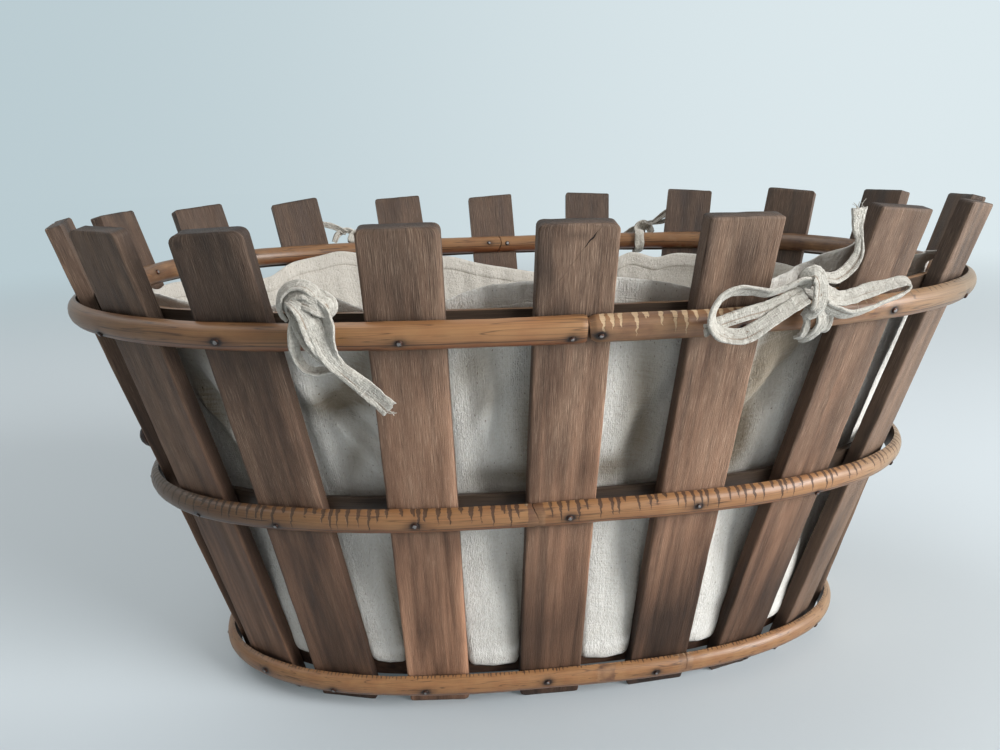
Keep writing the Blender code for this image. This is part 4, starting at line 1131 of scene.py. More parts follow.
def nail_heads(name, spots, head, material):
    """Domed nail heads at places, each with the direction it faces."""
    work = bmesh.new()
    worn = work.verts.layers.float.new("worn")
    for index, (place, facing) in enumerate(spots):
        dome = bmesh.ops.create_uvsphere(work, u_segments=10, v_segments=8, radius=1.0)["verts"]
        # worn marks each dome's crown, which the iron paints lighter, partly as a painted highlight
        for vert in dome:
            vert[worn] = max(0.0, 2.2 * vert.co.z - 1.1)
        wide = head / 2 * (1 + 0.14 * math.sin(7.7 * index))
        bmesh.ops.scale(work, vec=(wide, wide * (0.9 + 0.1 * math.sin(index)), head * 0.24), verts=dome)
        tilt = Vector(facing).to_track_quat("Z", "Y").to_matrix().to_4x4()
        bmesh.ops.transform(work, matrix=Matrix.Translation(Vector(place)) @ tilt, verts=dome)
    return finish_piece(name, work, material, smooth_under=80)


# The bag

# The height of the bag's bottom seam
SEAM_HEIGHT = 30 * MM

# No part of the bag is higher than this
BAG_TOP = 300 * MM

# How far inside the slats the cloth runs behind the rim and the middle hoop, in millimetres
BEHIND_RIM = 10.2
BEHIND_MIDDLE = 9.1

# The height of the bag's edge along the rim, both in millimetres, as the cloth is hung up and sags
BAG_EDGE = [
    (0, 278), (21, 278), (36, 276), (54, 273), (66, 269), (90, 268), (110, 272), (129, 278), (141, 282),
    (153, 290), (162, 291), (172, 284), (190, 277), (225, 276), (258, 279), (285, 272), (330, 262),
    (380, 252), (430, 247), (489, 246), (510, 249), (550, 252), (591, 254), (618, 256), (636, 250),
    (648, 256), (663, 258), (669, 252), (700, 244), (740, 240), (768, 245), (801, 251), (828, 259),
    (870, 256), (912, 265), (927, 268), (945, 264), (972, 261), (981, 258), (993, 251), (1005, 250),
    (1050, 254), (1098, 257), (1122, 258), (1137, 255), (1158, 260), (1164, 268), (1180, 266), (1230, 262),
    (1280, 268), (1311, 273), (1338, 269), (1370, 264), (1400, 268), (1420, 274), (1431, 273), (1443, 265),
    (1470, 263), (1491, 269), (1500, 274), (1515, 276), (1533, 277),
]


def bag_edge(share):
    """The height of the bag's edge at shares of the way round."""
    long = girth(RIM_Z)
    places, heights = np.array(BAG_EDGE, float).T * MM
    fine = np.linspace(0, 1, 2048, endpoint=False)
    line = np.interp(fine * long, places, heights, period=long)
    reach = np.fft.fftfreq(2048, 1 / 2048)
    soft = np.fft.ifft(np.fft.fft(line) * np.exp(-((reach * 6 * MM / long * 2 * math.pi) ** 2) / 2)).real
    return np.interp(np.mod(share, 1.0), fine, soft, period=1.0)


# How far the bag's foot bulges out between two slats, by the slat on the left of the gap
BULGES = {
    "slat_16": 0.55, "slat_17": 0.62, "slat_18": 0.92, "slat_01": 1.0, "slat_02": 0.85, "slat_03": 0.7,
}


@lru_cache(maxsize=None)
def gaps():
    """Where the gaps between slats start and end along the wall at the bag's seam, with the slat there."""
    long = girth(SEAM_HEIGHT)
    along = np.linspace(0, long, 2880, endpoint=False)
    points = wall(SEAM_HEIGHT, along)[0]
    middles = []
    for index, name in enumerate(SLATS):
        origin, _, _, up, _, _ = slat_face(name)
        place = origin + up * (SEAM_HEIGHT / up[2])
        middles.append((float(along[np.linalg.norm(points - place, axis=1).argmin()]), name, index))
    middles.sort()
    following = middles[1:] + [(middles[0][0] + long, "", 0)]
    starts = [(place + SLAT_WIDTH / 2, name, index) for place, name, index in middles]
    return starts, [(place - SLAT_WIDTH / 2, name, index) for place, name, index in following]


# Folds that hang aslant: millimetres along the rim, their height, how far over they go for each millimetre
# up, how deep they are and how wide
CREASES = [
    (-127, 205, -0.9, 4.0, 7), (-112, 178, -0.7, 3.5, 6), (-222, 205, -0.6, 4.5, 7),
    (-205, 185, -0.8, 3.0, 6), (-30, 215, 0.5, 3.5, 8), (58, 205, 0.4, 4.0, 9), (133, 208, 0.65, 6.5, 9),
    (108, 172, 0.2, 4.0, 12), (215, 195, 0.6, 4.0, 8),
]

# Warm brown shade painted into its folds: millimetres along the rim, their height, how far over they lean
# for each millimetre up, half their width, half their height and how brown
SHADE_PATCHES = [
    (-233, 200, -0.25, 10, 44, 1.0), (-214, 243, 0.0, 24, 12, 0.8), (-120, 230, 0.6, 11, 20, 0.9),
    (-132, 214, 2.6, 22, 9, 0.9), (-133, 179, 0.5, 6, 12, 0.7), (-52, 234, 0.2, 11, 15, 0.7),
    (-46, 214, 0.4, 6, 9, 0.5), (-23, 190, 0.05, 6, 36, 0.9), (-40, 163, 0.0, 18, 6, 0.7),
    (44, 222, -0.1, 10, 36, 0.75), (46, 178, 0.0, 11, 24, 0.75), (26, 165, 0.0, 10, 8, 0.8),
    (117, 198, 0.25, 13, 44, 1.0), (112, 170, 0.0, 16, 16, 0.9), (134, 238, 0.3, 15, 20, 1.0),
    (212, 200, 0.3, 9, 40, 0.8),
]


def painted_shade(along, height):
    """How much warm brown shade is painted on the bag, from 0 to 1, at millimetres along the rim and up."""
    # All of its back has a little painted shade, past the basket's two ends
    total = np.where(np.abs(along) > 330, 0.36, 0.0)
    for middle, high, lean, wide, tall, strength in SHADE_PATCHES:
        off = (along - middle - lean * (height - high)) / wide
        total = total + strength * np.exp(-0.6 * off**2 - 0.8 * ((height - high) / tall) ** 2)
    return np.clip(total, 0, 1)


def bag_bulges(share):
    """How far the bag's foot bulges out between the slats, from 0 to 1, at shares of the way round."""
    long = girth(SEAM_HEIGHT)
    total = np.zeros(len(share))
    for (start, name, index), (end, _, _) in zip(*gaps()):
        way = np.mod(share * long - start, long)
        way = np.minimum(way, end - start - way)
        strength = BULGES.get(name, 0.7 + 0.25 * math.sin(2.4 * index))
        rise = np.clip((way + 0.2 * MM) / (4.5 * MM), 0, 1)
        middle = np.clip(2 * way / (end - start), 0, 1)
        total = total + strength * np.sqrt(rise * (2 - rise)) * (0.85 + 0.15 * middle)
    return total


def along_rim(u):
    """Millimetres along the rim, from the middle of the front either way, at a share of the way round."""
    return (u if u < 0.5 else u - 1) * girth(RIM_Z) / MM


def hung(u, height):
    """How far inside the slats the cloth hangs, in millimetres, at a share of the way round and heights."""
    v = height / BAG_TOP
    rim = np.exp(-(((height - RIM_Z) / (28 * MM)) ** 2))
    mid = np.exp(-(((height - MIDDLE_Z) / (16 * MM)) ** 2))
    held = np.maximum(rim, mid)
    folds = 2.4 * waves(u * 3, v * 0.9, 11) + 1.3 * waves(u * 7, v * 1.7 + 0.3, 12)
    folds = folds + 0.7 * waves(u * 15, v, 13)
    slack = np.clip((height - 60 * MM) / (90 * MM), 0, 1)
    # It lies close behind the slats below, and hangs farther in from there up
    drawn = np.clip((height - 62 * MM) / (55 * MM), 0, 1)
    drawn = 1.5 + 5.0 * drawn**2 * (3 - 2 * drawn)
    gap = drawn + (BEHIND_RIM - drawn) * rim + (BEHIND_MIDDLE - drawn) * mid
    gap = gap + slack * np.clip(2.2 + folds, 0, 8) * (1 - 0.75 * held)
    flat = along_rim(u)
    for along, high, slope, deep, wide in CREASES:
        off = (flat - along) * MM - slope * (height - high * MM)
        near = np.exp(-(((height - high * MM) / (26 * MM)) ** 2)) * (1 - held)
        ridge = np.exp(-((off / (wide * MM)) ** 2))
        valley = np.exp(-(((off + 1.9 * wide * MM) / (wide * MM)) ** 2))
        gap = gap + deep * near * (ridge - valley)
    # Where shade is painted in front, the cloth lies a little farther in
    hollow = painted_shade(flat + 6, height / MM) * (np.abs(flat) < 320)
    gap = gap + 4.0 * hollow * (1 - held)
    # Over the rim hoop it falls inwards
    above = np.clip((height - RIM_Z - 5 * MM) / (20 * MM), 0, 1.5)
    gap = gap + above * (3.5 * waves(u * 5, v, 14) + 2.6 * waves(u * 17, v, 15) + 1.5)
    gap = np.maximum(gap, np.where(rim > 0.75, BEHIND_RIM, np.where(mid > 0.7, BEHIND_MIDDLE, 1.2)))
    return gap


def bag_columns(count):
    """Shares of the way round the bag, with more where the cloth turns round the slats' edges."""
    edges = [
        (place + step * way * MM) / girth(SEAM_HEIGHT)
        for row, way in zip(gaps(), (1, -1)) for place, _, _ in row for step in (-0.3, 0.9, 2.2, 4.2)
    ]
    share = np.unique(np.concatenate([np.linspace(0, 1, count - len(edges)), np.mod(edges, 1.0)]))
    share = share[np.concatenate([[True], np.diff(share) > 0.0003])]
    share[-1] = 1.0
    return share


def bag_lines(share):
    """Heights, and at each of them the places just inside the slats and the level ways out of the bag."""
    levels = np.linspace(10 * MM, BAG_TOP, 100)
    line = np.zeros((len(levels), len(share), 3))
    outs = np.zeros((len(levels), len(share), 3))
    for i, level in enumerate(levels):
        near_level = float(np.clip(level, FOOT_Z, 285 * MM))
        point, _, out, up = inside(near_level, share * girth(level), np.zeros(len(share)))
        line[i] = point + up * ((level - point[:, 2]) / up[:, 2])[:, None]
        outs[i] = out * np.array([1, 1, 0])
        outs[i] /= np.linalg.norm(outs[i], axis=1)[:, None]
    return levels, line, outs


def bag_places(columns, rows, hem):
    """Places on the bag's wall from its bottom's seam up to its edge, and what is known of each.

    That is its place in the flat cloth, how near the gathered seam it is, and how much shade is painted on
    it.
    """
    share = bag_columns(columns)
    columns = len(share)
    edge = bag_edge(share)
    bulge = bag_bulges(share)
    # Painted shade: each lobe is browner where it turns away from the light, by the slat on its right
    turned = np.zeros(columns)
    for end, _, _ in gaps()[1]:
        short = np.mod(end - share * girth(SEAM_HEIGHT) + 8 * MM, girth(SEAM_HEIGHT)) - 8 * MM
        turned = np.maximum(turned, np.clip(1.1 - short / (7 * MM), 0, 1))
    levels, line, outs = bag_lines(share)
    # How far inside the slats the cloth runs and how high, both in millimetres: over the floor boards' edge
    # and up behind a slat, or down in front of that edge and up where it bulges out between two slats
    behind = np.array([(15, 29.5), (9, 29.6), (5.5, 30.3), (3.6, 32.5), (2.2, 37), (1.5, 42), (1.5, 52)])
    between = np.array([(15, 29.5), (3, 30.4), (-0.9, 30.6), (-2.2, 26), (-4.2, 24), (-5.0, 30), (-1.5, 55)])
    long = girth(150 * MM)
    places = np.zeros((rows, columns, 3))
    cut = np.zeros((rows, columns, 2))
    seam = np.zeros((rows, columns))
    shade_share = np.zeros((rows, columns))
    for j in range(columns):
        u, lobe = share[j], bulge[j]
        foot = behind * (1 - lobe) + between * lobe
        foot = smooth_route(np.column_stack([foot, 0 * foot[:, 0]]), 0.8)[:, :2] * MM
        height = np.linspace(foot[-1, 1] + 1 * MM, edge[j], 90)
        gap = hung(u, height)
        gap = gap + (foot[-1, 0] / MM - 1.5) * np.exp(-(((height - foot[-1, 1]) / (48 * MM)) ** 2))
        path = np.concatenate([foot, np.column_stack([gap * MM, height])])
        reached = np.concatenate([[0.0], np.cumsum(np.hypot(*np.diff(path, axis=0).T))])
        low, high = reached[len(foot) - 1], reached[-1] - hem
        stops = np.concatenate([
            np.linspace(0, low, 24, endpoint=False),
            np.linspace(low, high - 1 * MM, rows - 30),
            high + np.array([-0.3, 0.2, 2.5, 5.5, 8.5]) * MM,
            reached[-1:],
        ])
        gap, height = (np.interp(stops, reached, path[:, k]) for k in range(2))
        low_down = np.clip((130 * MM - height) / (40 * MM), 0, 1)
        shade_share[:, j] = np.clip(painted_shade(along_rim(u), height / MM) + 0.75 * turned[j] * low_down, 0, 1)
        # The hem lies double, on the bag's inner side
        gap = gap + 0.5 * MM * (stops > high)
        base = np.stack([np.interp(height, levels, line[:, j, axis]) for axis in range(3)], -1)
        out = np.stack([np.interp(height, levels, outs[:, j, axis]) for axis in range(3)], -1)
        places[:, j] = base - out * gap[:, None]
        cut[:, j, 0] = u * long
        cut[:, j, 1] = reached[-1] - stops
        turn = reached[len(foot) * 3 // 5]
        seam[:, j] = np.clip(lobe, 0, 1) * np.exp(-(((stops - turn - 3.0 * MM) / (3.4 * MM)) ** 2))
    # The seam's gathers
    pucker = 0.9 * MM * rough(np.stack([cut[..., 0], 0.3 * cut[..., 1], 0 * seam], -1), 0.0028, 4)
    places += np.concatenate([outs[10][None]] * rows) * (seam * pucker)[..., None]
    places[:, -1] = places[:, 0]
    return places, cut, seam, shade_share


# The ties

TIE_FROM_MIDDLE = 127 * MM
TIES = {
    "tie_front_left": -TIE_FROM_MIDDLE,
    "tie_front_right": TIE_FROM_MIDDLE,
    "tie_back_right": girth(RIM_Z) / 2 - TIE_FROM_MIDDLE,
    "tie_back_left": girth(RIM_Z) / 2 + TIE_FROM_MIDDLE,
}
# The free tapes, traced at millimetres along, out and up from the rim hoop's outside at their tie, with for
# each how far the tape's flat is turned, its widths in turn, and what is at its far end
TAILS = {
    "tie_front_left_tail": (
        "tie_front_left",
        [(0.5, 9.5, 14), (3.5, 9, 7), (6, 8.5, -1), (9.8, 7, -8.4), (14.3, 6, -13.5), (19, 5, -17.9),
         (26, 4.2, -24.1), (33.6, 3.8, -31.9)],
        (30, 20, 10, 0, 0), (10, 9, 7.5, 8.5, 9.5), "bare",
    ),
    "tie_front_right_loop_left": (
        "tie_front_right",
        [(-17.2, 9, 20.7), (-21.9, 9, 21.9), (-27.4, 9, 20.4), (-32.6, 8, 18.2), (-39.7, 8, 16.8),
         (-47.6, 8, 18.7), (-57.4, 8, 19.4), (-64.8, 8, 17.0), (-69.0, 8, 11.5), (-69.6, 8, 5.0),
         (-66.5, 8.5, 0.4), (-60, 9, -2.1), (-52.6, 9.5, -2.3), (-44.5, 10, 1.5), (-35.9, 10, 6.2),
         (-26.7, 10, 10.8), (-19.7, 10, 14.2)],
        (50, 55, 55, 45, 35, 25, 30, 35), (6.5, 7.5, 8, 8.5, 8.5, 7.5, 7), "object",
    ),
    "tie_front_right_loop_right": (
        "tie_front_right",
        [(-10.2, 10, 16.4), (-1.7, 9.5, 12.2), (6.4, 9, 12.2), (16.2, 8.5, 14.2), (26.1, 8, 15.9),
         (35.7, 8, 17.3), (41.2, 8, 17.6), (43.9, 8, 15.2), (42.1, 8, 12.1), (36.8, 8, 9.9),
         (26.7, 8.5, 7.4), (16.8, 9, 4.6), (6.9, 9.5, 3.4), (-1.5, 10, 5.6), (-9.5, 10, 9.5)],
        (20, 30, 40, 55, 60, 50, 45), (8, 8, 7, 6, 6.5, 7, 7), "object",
    ),
    "tie_front_right_tail": (
        "tie_front_right",
        [(-8, 7.5, 22.5), (-2, 7, 21.8), (3.6, 6, 23.4), (9.5, 5, 27.3), (12.9, 5, 33), (12.6, 5, 39.4),
         (10.7, 5, 45.7), (10.3, 5.5, 50.6), (10, 6, 54.8)],
        (50, 40, 35, 30, 20, 5, 0), (7, 6.5, 6, 5.5, 4, 6, 8.8), "bare",
    ),
    "tie_back_right_loop": (
        "tie_back_right",
        [(-15, 2, 18), (-22, 2.5, 23.5), (-30, 3, 28.5), (-38, 3.5, 32), (-46, 4.5, 34)],
        (30, 20, 10, 0), (5, 6, 5.5, 5), "bare",
    ),
    "tie_back_left_loop": (
        "tie_back_left",
        [(11, 1, 18), (20, 2, 23), (30, 3, 26), (41, 4, 26)],
        (30, 20, 10, 0), (5, 5.4, 5.2), "bare",
    ),
}


def tie_axes(tie, level=False):
    """A tie's place on the rim hoop's outside, with its directions along, out and up."""
    point, side, out, up = climbed(wall(RIM_Z, np.array([TIES[tie]])), RIM_RISE)
    if level:
        out = out[0] * np.array([1, 1, 0])
        out = out / np.linalg.norm(out)
        return point[0], np.cross([0, 0, 1], out), out, np.array([0, 0, 1.0])
    return point[0], side[0], out[0], up[0]


def loose_threads(work, places, ahead, across, face, count, seed):
    """Adds frayed threads to a tape's mesh where it was cut."""
    rng = np.random.default_rng(seed)
    for _ in range(count):
        start = places + across * rng.uniform(-0.45, 0.45)
        bend = (across * rng.uniform(-0.35, 0.35) + face * rng.uniform(-1.5, 1.5) * MM) * (1 + 0 * start)
        long = rng.uniform(1.5, 4.5) * MM
        steps = np.linspace(-0.2, 1, 6)[:, None]
        line = start + ahead * long * steps + bend * np.clip(steps, 0, 1) ** 2
        round_it = np.linspace(0, 2 * math.pi, 5)
        side = across / np.linalg.norm(across)
        ring = (side * np.cos(round_it)[:, None] + face * np.sin(round_it)[:, None]) * 0.22 * MM
        tube = placed_sheet(line[:, None] + ring[None], np.zeros((6, 5, 2)), closed=True, capped=True)
        mesh = bpy.data.meshes.new("thread")
        tube.to_mesh(mesh)
        tube.free()
        work.from_mesh(mesh)
        bpy.data.meshes.remove(mesh)


def tape(name, spots, across, widths, thickness, material, seed, fray=0, closed=False):
    """A folded tape along a line of places, its width lying in the directions given there."""
    steps = np.gradient(spots, axis=0)
    ahead = steps / np.linalg.norm(steps, axis=1)[:, None]
    across = across - ahead * (across * ahead).sum(1)[:, None]
    across = across / np.linalg.norm(across, axis=1)[:, None]
    face = np.cross(ahead, across)
    reached = np.concatenate([[0.0], np.cumsum(np.linalg.norm(np.diff(spots, axis=0), axis=1))])
    angle = np.linspace(0, 2 * math.pi, 37)
    x = np.sign(np.cos(angle)) * np.abs(np.cos(angle)) ** 0.6
    y = np.sign(np.sin(angle)) * np.abs(np.sin(angle)) ** 0.6
    where = np.stack([reached, 0 * reached, 0 * reached], -1)
    width = np.interp(np.linspace(0, 1, len(spots)), np.linspace(0, 1, len(widths)), widths)
    wide = width / 2 * (1 + 0.12 * rough(where, 0.012, seed) + 0.10 * rough(where, 0.0045, seed + 1))
    curl = 0.16 * width * rough(where, 0.014, seed + 2)
    # The tape's two rolled edges, and the line between them where it was folded lengthwise
    line = (0.30 + 0.22 * rough(where, 0.03, seed + 3))[:, None]
    groove = np.exp(-(((x - line) / 0.11) ** 2))
    thick = thickness / 2 * (1 + 0.15 * rough(where, 0.006, seed + 4))[:, None]
    xs = x[None, :] * wide[:, None]
    ys = y * thick * (0.85 + 0.45 * x**2 - 0.55 * groove) + curl[:, None] * (x[None, :] ** 2 - 0.4)
    places = spots[:, None] + across[:, None] * xs[..., None] + face[:, None] * ys[..., None]
    places = places + face[:, None] * (0.30 * MM * rough(places, 0.004, seed + 5) * np.abs(y))[..., None]
    if fray:
        ragged = np.random.default_rng(seed).uniform(-0.9, 0.9, len(x)) * MM
        ragged[-1] = ragged[0]
        places[-1] += ahead[-1] * ragged[:, None]
    round_it = np.concatenate([[0.0], np.cumsum(np.hypot(np.diff(x), 0.2 * np.diff(y)))]) * width.mean() / 2
    uvs = np.stack([
        np.broadcast_to(round_it, xs.shape) + 0.05 * seed, np.broadcast_to(reached[:, None], xs.shape)
    ], -1)
    # The groove is darkened in the material: painted shade
    layers = {"fold": groove * np.abs(y) ** 0.5}
    work = placed_sheet(places, uvs, closed=True, capped=not closed, layers=layers)
    if closed:
        bmesh.ops.remove_doubles(work, verts=work.verts, dist=1e-5)
        bmesh.ops.recalc_face_normals(work, faces=work.faces)
    if fray:
        loose_threads(work, spots[-1], ahead[-1], across[-1] * wide[-1] * 2, face[-1], fray, seed)
    return finish_piece(name, work, material, smooth_under=70)


def turned_across(spots, out, turns):
    """The directions across a tape that runs along places, turned from lying flat against the basket."""
    steps = np.gradient(spots, axis=0)
    flat = np.cross(steps, out)
    flat = flat / np.linalg.norm(flat, axis=1)[:, None]
    turn = np.interp(np.linspace(0, 1, len(spots)), np.linspace(0, 1, len(turns)), turns)
    turn = np.radians(turn)[:, None]
    return flat * np.cos(turn) + out * np.sin(turn)


def make_tail(name, sizes, material, seed):
    """A loose end or a loop of a tie."""
    tie, route, turns, widths, far_end = TAILS[name]
    point, along, out, up = tie_axes(tie, level=True)
    points = [point + (along * x + out * y + up * z) * MM for x, y, z in route]
    spots = smooth_route(points, 1.4 * MM)
    piece = tape(
        name + "_tape", spots, turned_across(spots, out, turns), np.array(widths) * MM, sizes.tape_cloth,
        material, seed, fray=5 if far_end == "bare" else 0,
    )
    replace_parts(piece, name)
    [tuple(p) for p in smooth_route(points, 3 * MM)]
    return piece


def make_band(tie, sizes, material, seed):
    """The tape that holds both rim hoops together at a tie."""
    point, side, out, up = tie_axes(tie)
    within = inside(RIM_Z, np.array([TIES[tie]]), np.array([CLEARANCE + INNER_HOOP_DEPTH]))
    within = climbed(within, RIM_RISE)[0][0]
    deep = (point - within) @ out / 2 + 1.4 * MM
    tall = HOOP_HEIGHT / 2 + 1.5 * MM
    turn = np.linspace(0, 2 * math.pi, 72, endpoint=False)
    x = deep * np.sign(np.cos(turn)) * np.abs(np.cos(turn)) ** 0.5
    y = tall * np.sign(np.sin(turn)) * np.abs(np.sin(turn)) ** 0.5
    spots = (point + within) / 2 + out * x[:, None] + up * y[:, None]
    spots = np.concatenate([spots, spots[:1]])
    across = np.broadcast_to(side, spots.shape) + 0.18 * np.sin(turn[[*range(72), 0]])[:, None] * up
    widths = (8 * MM, 8 * MM)
    return tape(tie + "_wrap", spots, across, widths, sizes.tape_cloth, material, seed, closed=True)


# The knots' turns: millimetres along, out and up from the rim hoop's outside, how far the tape's flat is
# turned, and its widths in turn
KNOTS = {
    "tie_front_left": [
        ([(-13.5, 3, 11.9), (-14.7, 5, 16), (-14.4, 6, 20.4), (-12.9, 6.5, 24.2), (-9.2, 7, 27.2),
          (-3.7, 7.5, 28.6), (1.4, 8, 27.2), (5.2, 8, 22.8), (8.2, 7, 17.6)],
         (60, 55, 60, 60, 50, 40), (6, 7, 7, 6)),
        ([(-10.5, 5, 14), (-11.3, 7, 19), (-9.1, 8, 22.5), (-5.5, 8.5, 24.8), (-1.1, 9, 25),
          (2.8, 9, 22.5), (6.2, 8, 18.7)],
         (60, 50, 45, 40, 40), (5, 6, 6, 5)),
        ([(-7.5, 7, 23), (-2.5, 9.5, 22), (1.8, 10.5, 20.6), (5.6, 10, 18.4), (9.3, 7.5, 15.6)],
         (10, 10, 15, 30), (6, 9, 8, 6)),
        ([(0.4, 6, 24), (5.5, 7.5, 23.0), (9.3, 8, 20.5), (9.9, 7, 17.1), (7.1, 6, 13.6)],
         (40, 40, 50, 50), (7, 8, 8, 7)),
        ([(-9, 9, 21.8), (-6.1, 11, 20.3), (-2.5, 11.5, 16.6), (-0.4, 11, 11.5), (1.5, 10, 5.2),
          (5, 8.5, -2.7), (10.1, 6.6, -9.8)],
         (30, 35, 30, 25, 15, 10), (4, 6, 8, 9, 7, 5)),
        ([(2.8, 8, 20.3), (6.2, 8.5, 16.8), (7.6, 8, 10.1), (6.9, 7.5, 3.4), (8.0, 7, -4),
          (11.4, 5.8, -10.5)],
         (-30, -35, -30, -20, 0), (8, 10, 11, 9, 5)),
        ([(-8, 8.5, 17), (-5.5, 9, 12), (-3, 8.5, 6), (0.5, 8, 0), (5, 7, -6), (10, 6, -10)],
         (20, 25, 20, 10, 0), (5, 7, 8, 7, 5)),
        ([(-5.5, 7, 15.5), (-7.4, 8, 8.5), (-8.6, 7.5, 1.5), (-8.9, 4.5, -5.4), (-6.2, 3, -11.5),
          (-1.6, 2.5, -13.5), (4.2, 3.5, -12.6), (11, 5, -10)],
         (20, 30, 45, 50, 50, 50), (6, 6, 5.5, 5, 5, 5)),
    ],
    "tie_front_right": [
        ([(-68.4, 6.5, 3.3), (-59.9, 6.5, 5.5), (-50.5, 7, 7.8), (-40.7, 7, 9.4), (-30.1, 7.5, 12.6),
          (-19.4, 8, 16.3)],
         (10, 10, 10, 20, 30), (6, 6.5, 7, 7, 6)),
        ([(-19.6, 7, 18.5), (-20, 9.5, 23.6), (-16.8, 11.5, 25.5), (-14, 12, 21.3), (-13.7, 12.5, 14.6),
          (-14.4, 12, 8.8), (-16, 10, 6.1), (-17.9, 7, 7.7)],
         (40, 30, 10, 0, 0, 10, 40), (7, 8, 8.5, 8.5, 8, 7)),
        ([(-21, 6, 20), (-16, 9, 22.8), (-10, 9, 21), (-7, 8, 15), (-8, 8, 9), (-13, 7, 5)],
         (40, 40, 30, 40, 50), (6, 7, 7, 6)),
        ([(-13.5, 9, 8), (-10.5, 9.5, 4.5), (-9.2, 8.5, 0), (-9.8, 6, -5), (-12, 2, -8.5),
          (-13, -2, -9)],
         (30, 15, 5, 10, 20), (5, 6, 6, 5.5, 5)),
        ([(-17, 7, 5), (-15.5, 6.5, 0), (-15.5, 4, -6), (-16, 0, -8.5)], (10, 5, 5, 10), (4, 4, 4.5, 4)),
        ([(-64, 6.5, 3.4), (-69.5, 6.5, 2.0), (-73, 7, 1.4)], (0, 0), (6, 5, 6.5)),
    ],
    "tie_back_right": [
        ([(-13, -4, 9), (-11, 1, 14), (-6, 3, 17), (-1, 1, 15), (1, -4, 9)],
         (50, 30, 20, 30, 50), (7, 8, 7)),
        ([(-9, -2, 18), (-6, 3, 14), (-4, 3, 8), (-3, 2, 0), (-3, 1, -7)], (20, 10, 0, 0, 0), (6, 7, 7)),
        ([(-2, 1, 15), (3, 2, 12), (8, 2, 9), (12, 3, 5)], (20, 10, 0, 0), (5, 6, 6)),
        ([(-6, 3, 16), (-14, 3, 18), (-24, 3, 19), (-33, 3, 24), (-38, 3, 30)],
         (30, 50, 40, 20), (5, 5, 4, 4)),
    ],
    "tie_back_left": [
        ([(-6, -4, 9), (-4, 1, 14), (1, 3, 17), (6, 1, 15), (9, -4, 9)], (50, 30, 20, 30, 50), (7, 8, 7)),
        ([(0, -2, 18), (2, 3, 14), (2, 3, 8), (2, 2, 0), (1, 1, -7)], (20, 10, 0, 0, 0), (6, 7, 7)),
        ([(2, 2, 16), (10, 3, 20), (18, 3, 17), (22, 3, 10)], (30, 30, 20), (5, 6, 5)),
    ],
}


def make_knot(tie, sizes, material, seed):
    """A knot of its tape's turns, one piece for each."""
    point, along, out, up = tie_axes(tie, level=True)
    turns = []
    for index, (route, rolls, widths) in enumerate(KNOTS[tie]):
        points = [point + (along * x + out * y + up * z) * MM for x, y, z in route]
        spots = smooth_route(points, 1.2 * MM)
        name = f"{tie}_turn_{index + 1}"
        across, widths = turned_across(spots, out, rolls), np.array(widths) * MM
        turns.append(tape(name, spots, across, widths, sizes.tape_cloth, material, seed + 9 * index))
    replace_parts(turns[0], tie + "_knot")
    return turns


# Operators


class BASKET_OT_ties(bpy.types.Operator):
    """Ties the bag to the rim: four bands, their knots, and the free tapes"""

    bl_idname = "basket.ties"
    bl_label = "Tie the tapes"

    def execute(self, context):
        sizes, colours = context.scene.basket_sizes, context.scene.basket_colours
        cloth = linen("folded linen tape", colours, colours.tape, colours.tape_shade, 1.1 * MM, 12 * MM)
        for index, tie in enumerate(TIES):
            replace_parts(make_band(tie, sizes, cloth, 40 + index), tie + "_band")
            make_knot(tie, sizes, cloth, 50 + 5 * index)
        for index, name in enumerate(TAILS):
            make_tail(name, sizes, cloth, 80 + index)
        return {"FINISHED"}


class BASKET_OT_slats(bpy.types.Operator):
    """Shapes the eighteen weathered slats"""

    bl_idname = "basket.slats"
    bl_label = "Shape the slats"

    def execute(self, context):
        # The board in the middle has a crack, 5.5 mm right of its middle and 9 mm under its top
        _, _, _, _, top, width = slat_face("slat_01")
        crack = (GRAIN_STEP + width / 2 + 5.5 * MM, top - 9 * MM)
        wood = slat_wood(context.scene.basket_colours, crack)
        for index, name in enumerate(SLATS):
            make_slat(name, context.scene.basket_sizes, wood, index + 1)
        return {"FINISHED"}


class BASKET_OT_hoops(bpy.types.Operator):
    """Bends the three outer and the two inner hoops"""

    bl_idname = "basket.hoops"
    bl_label = "Bend the hoops"

    def execute(self, context):
        sizes = context.scene.basket_sizes
        rod = split_rod(context.scene.basket_colours)
        for index, name in enumerate(OUTER_HOOPS):
            outer_hoop(name, sizes.hoop_step, rod, 20 + index)
        for index, name in enumerate(INNER_HOOPS):
            inner_hoop(name, rod, 30 + index)
        return {"FINISHED"}


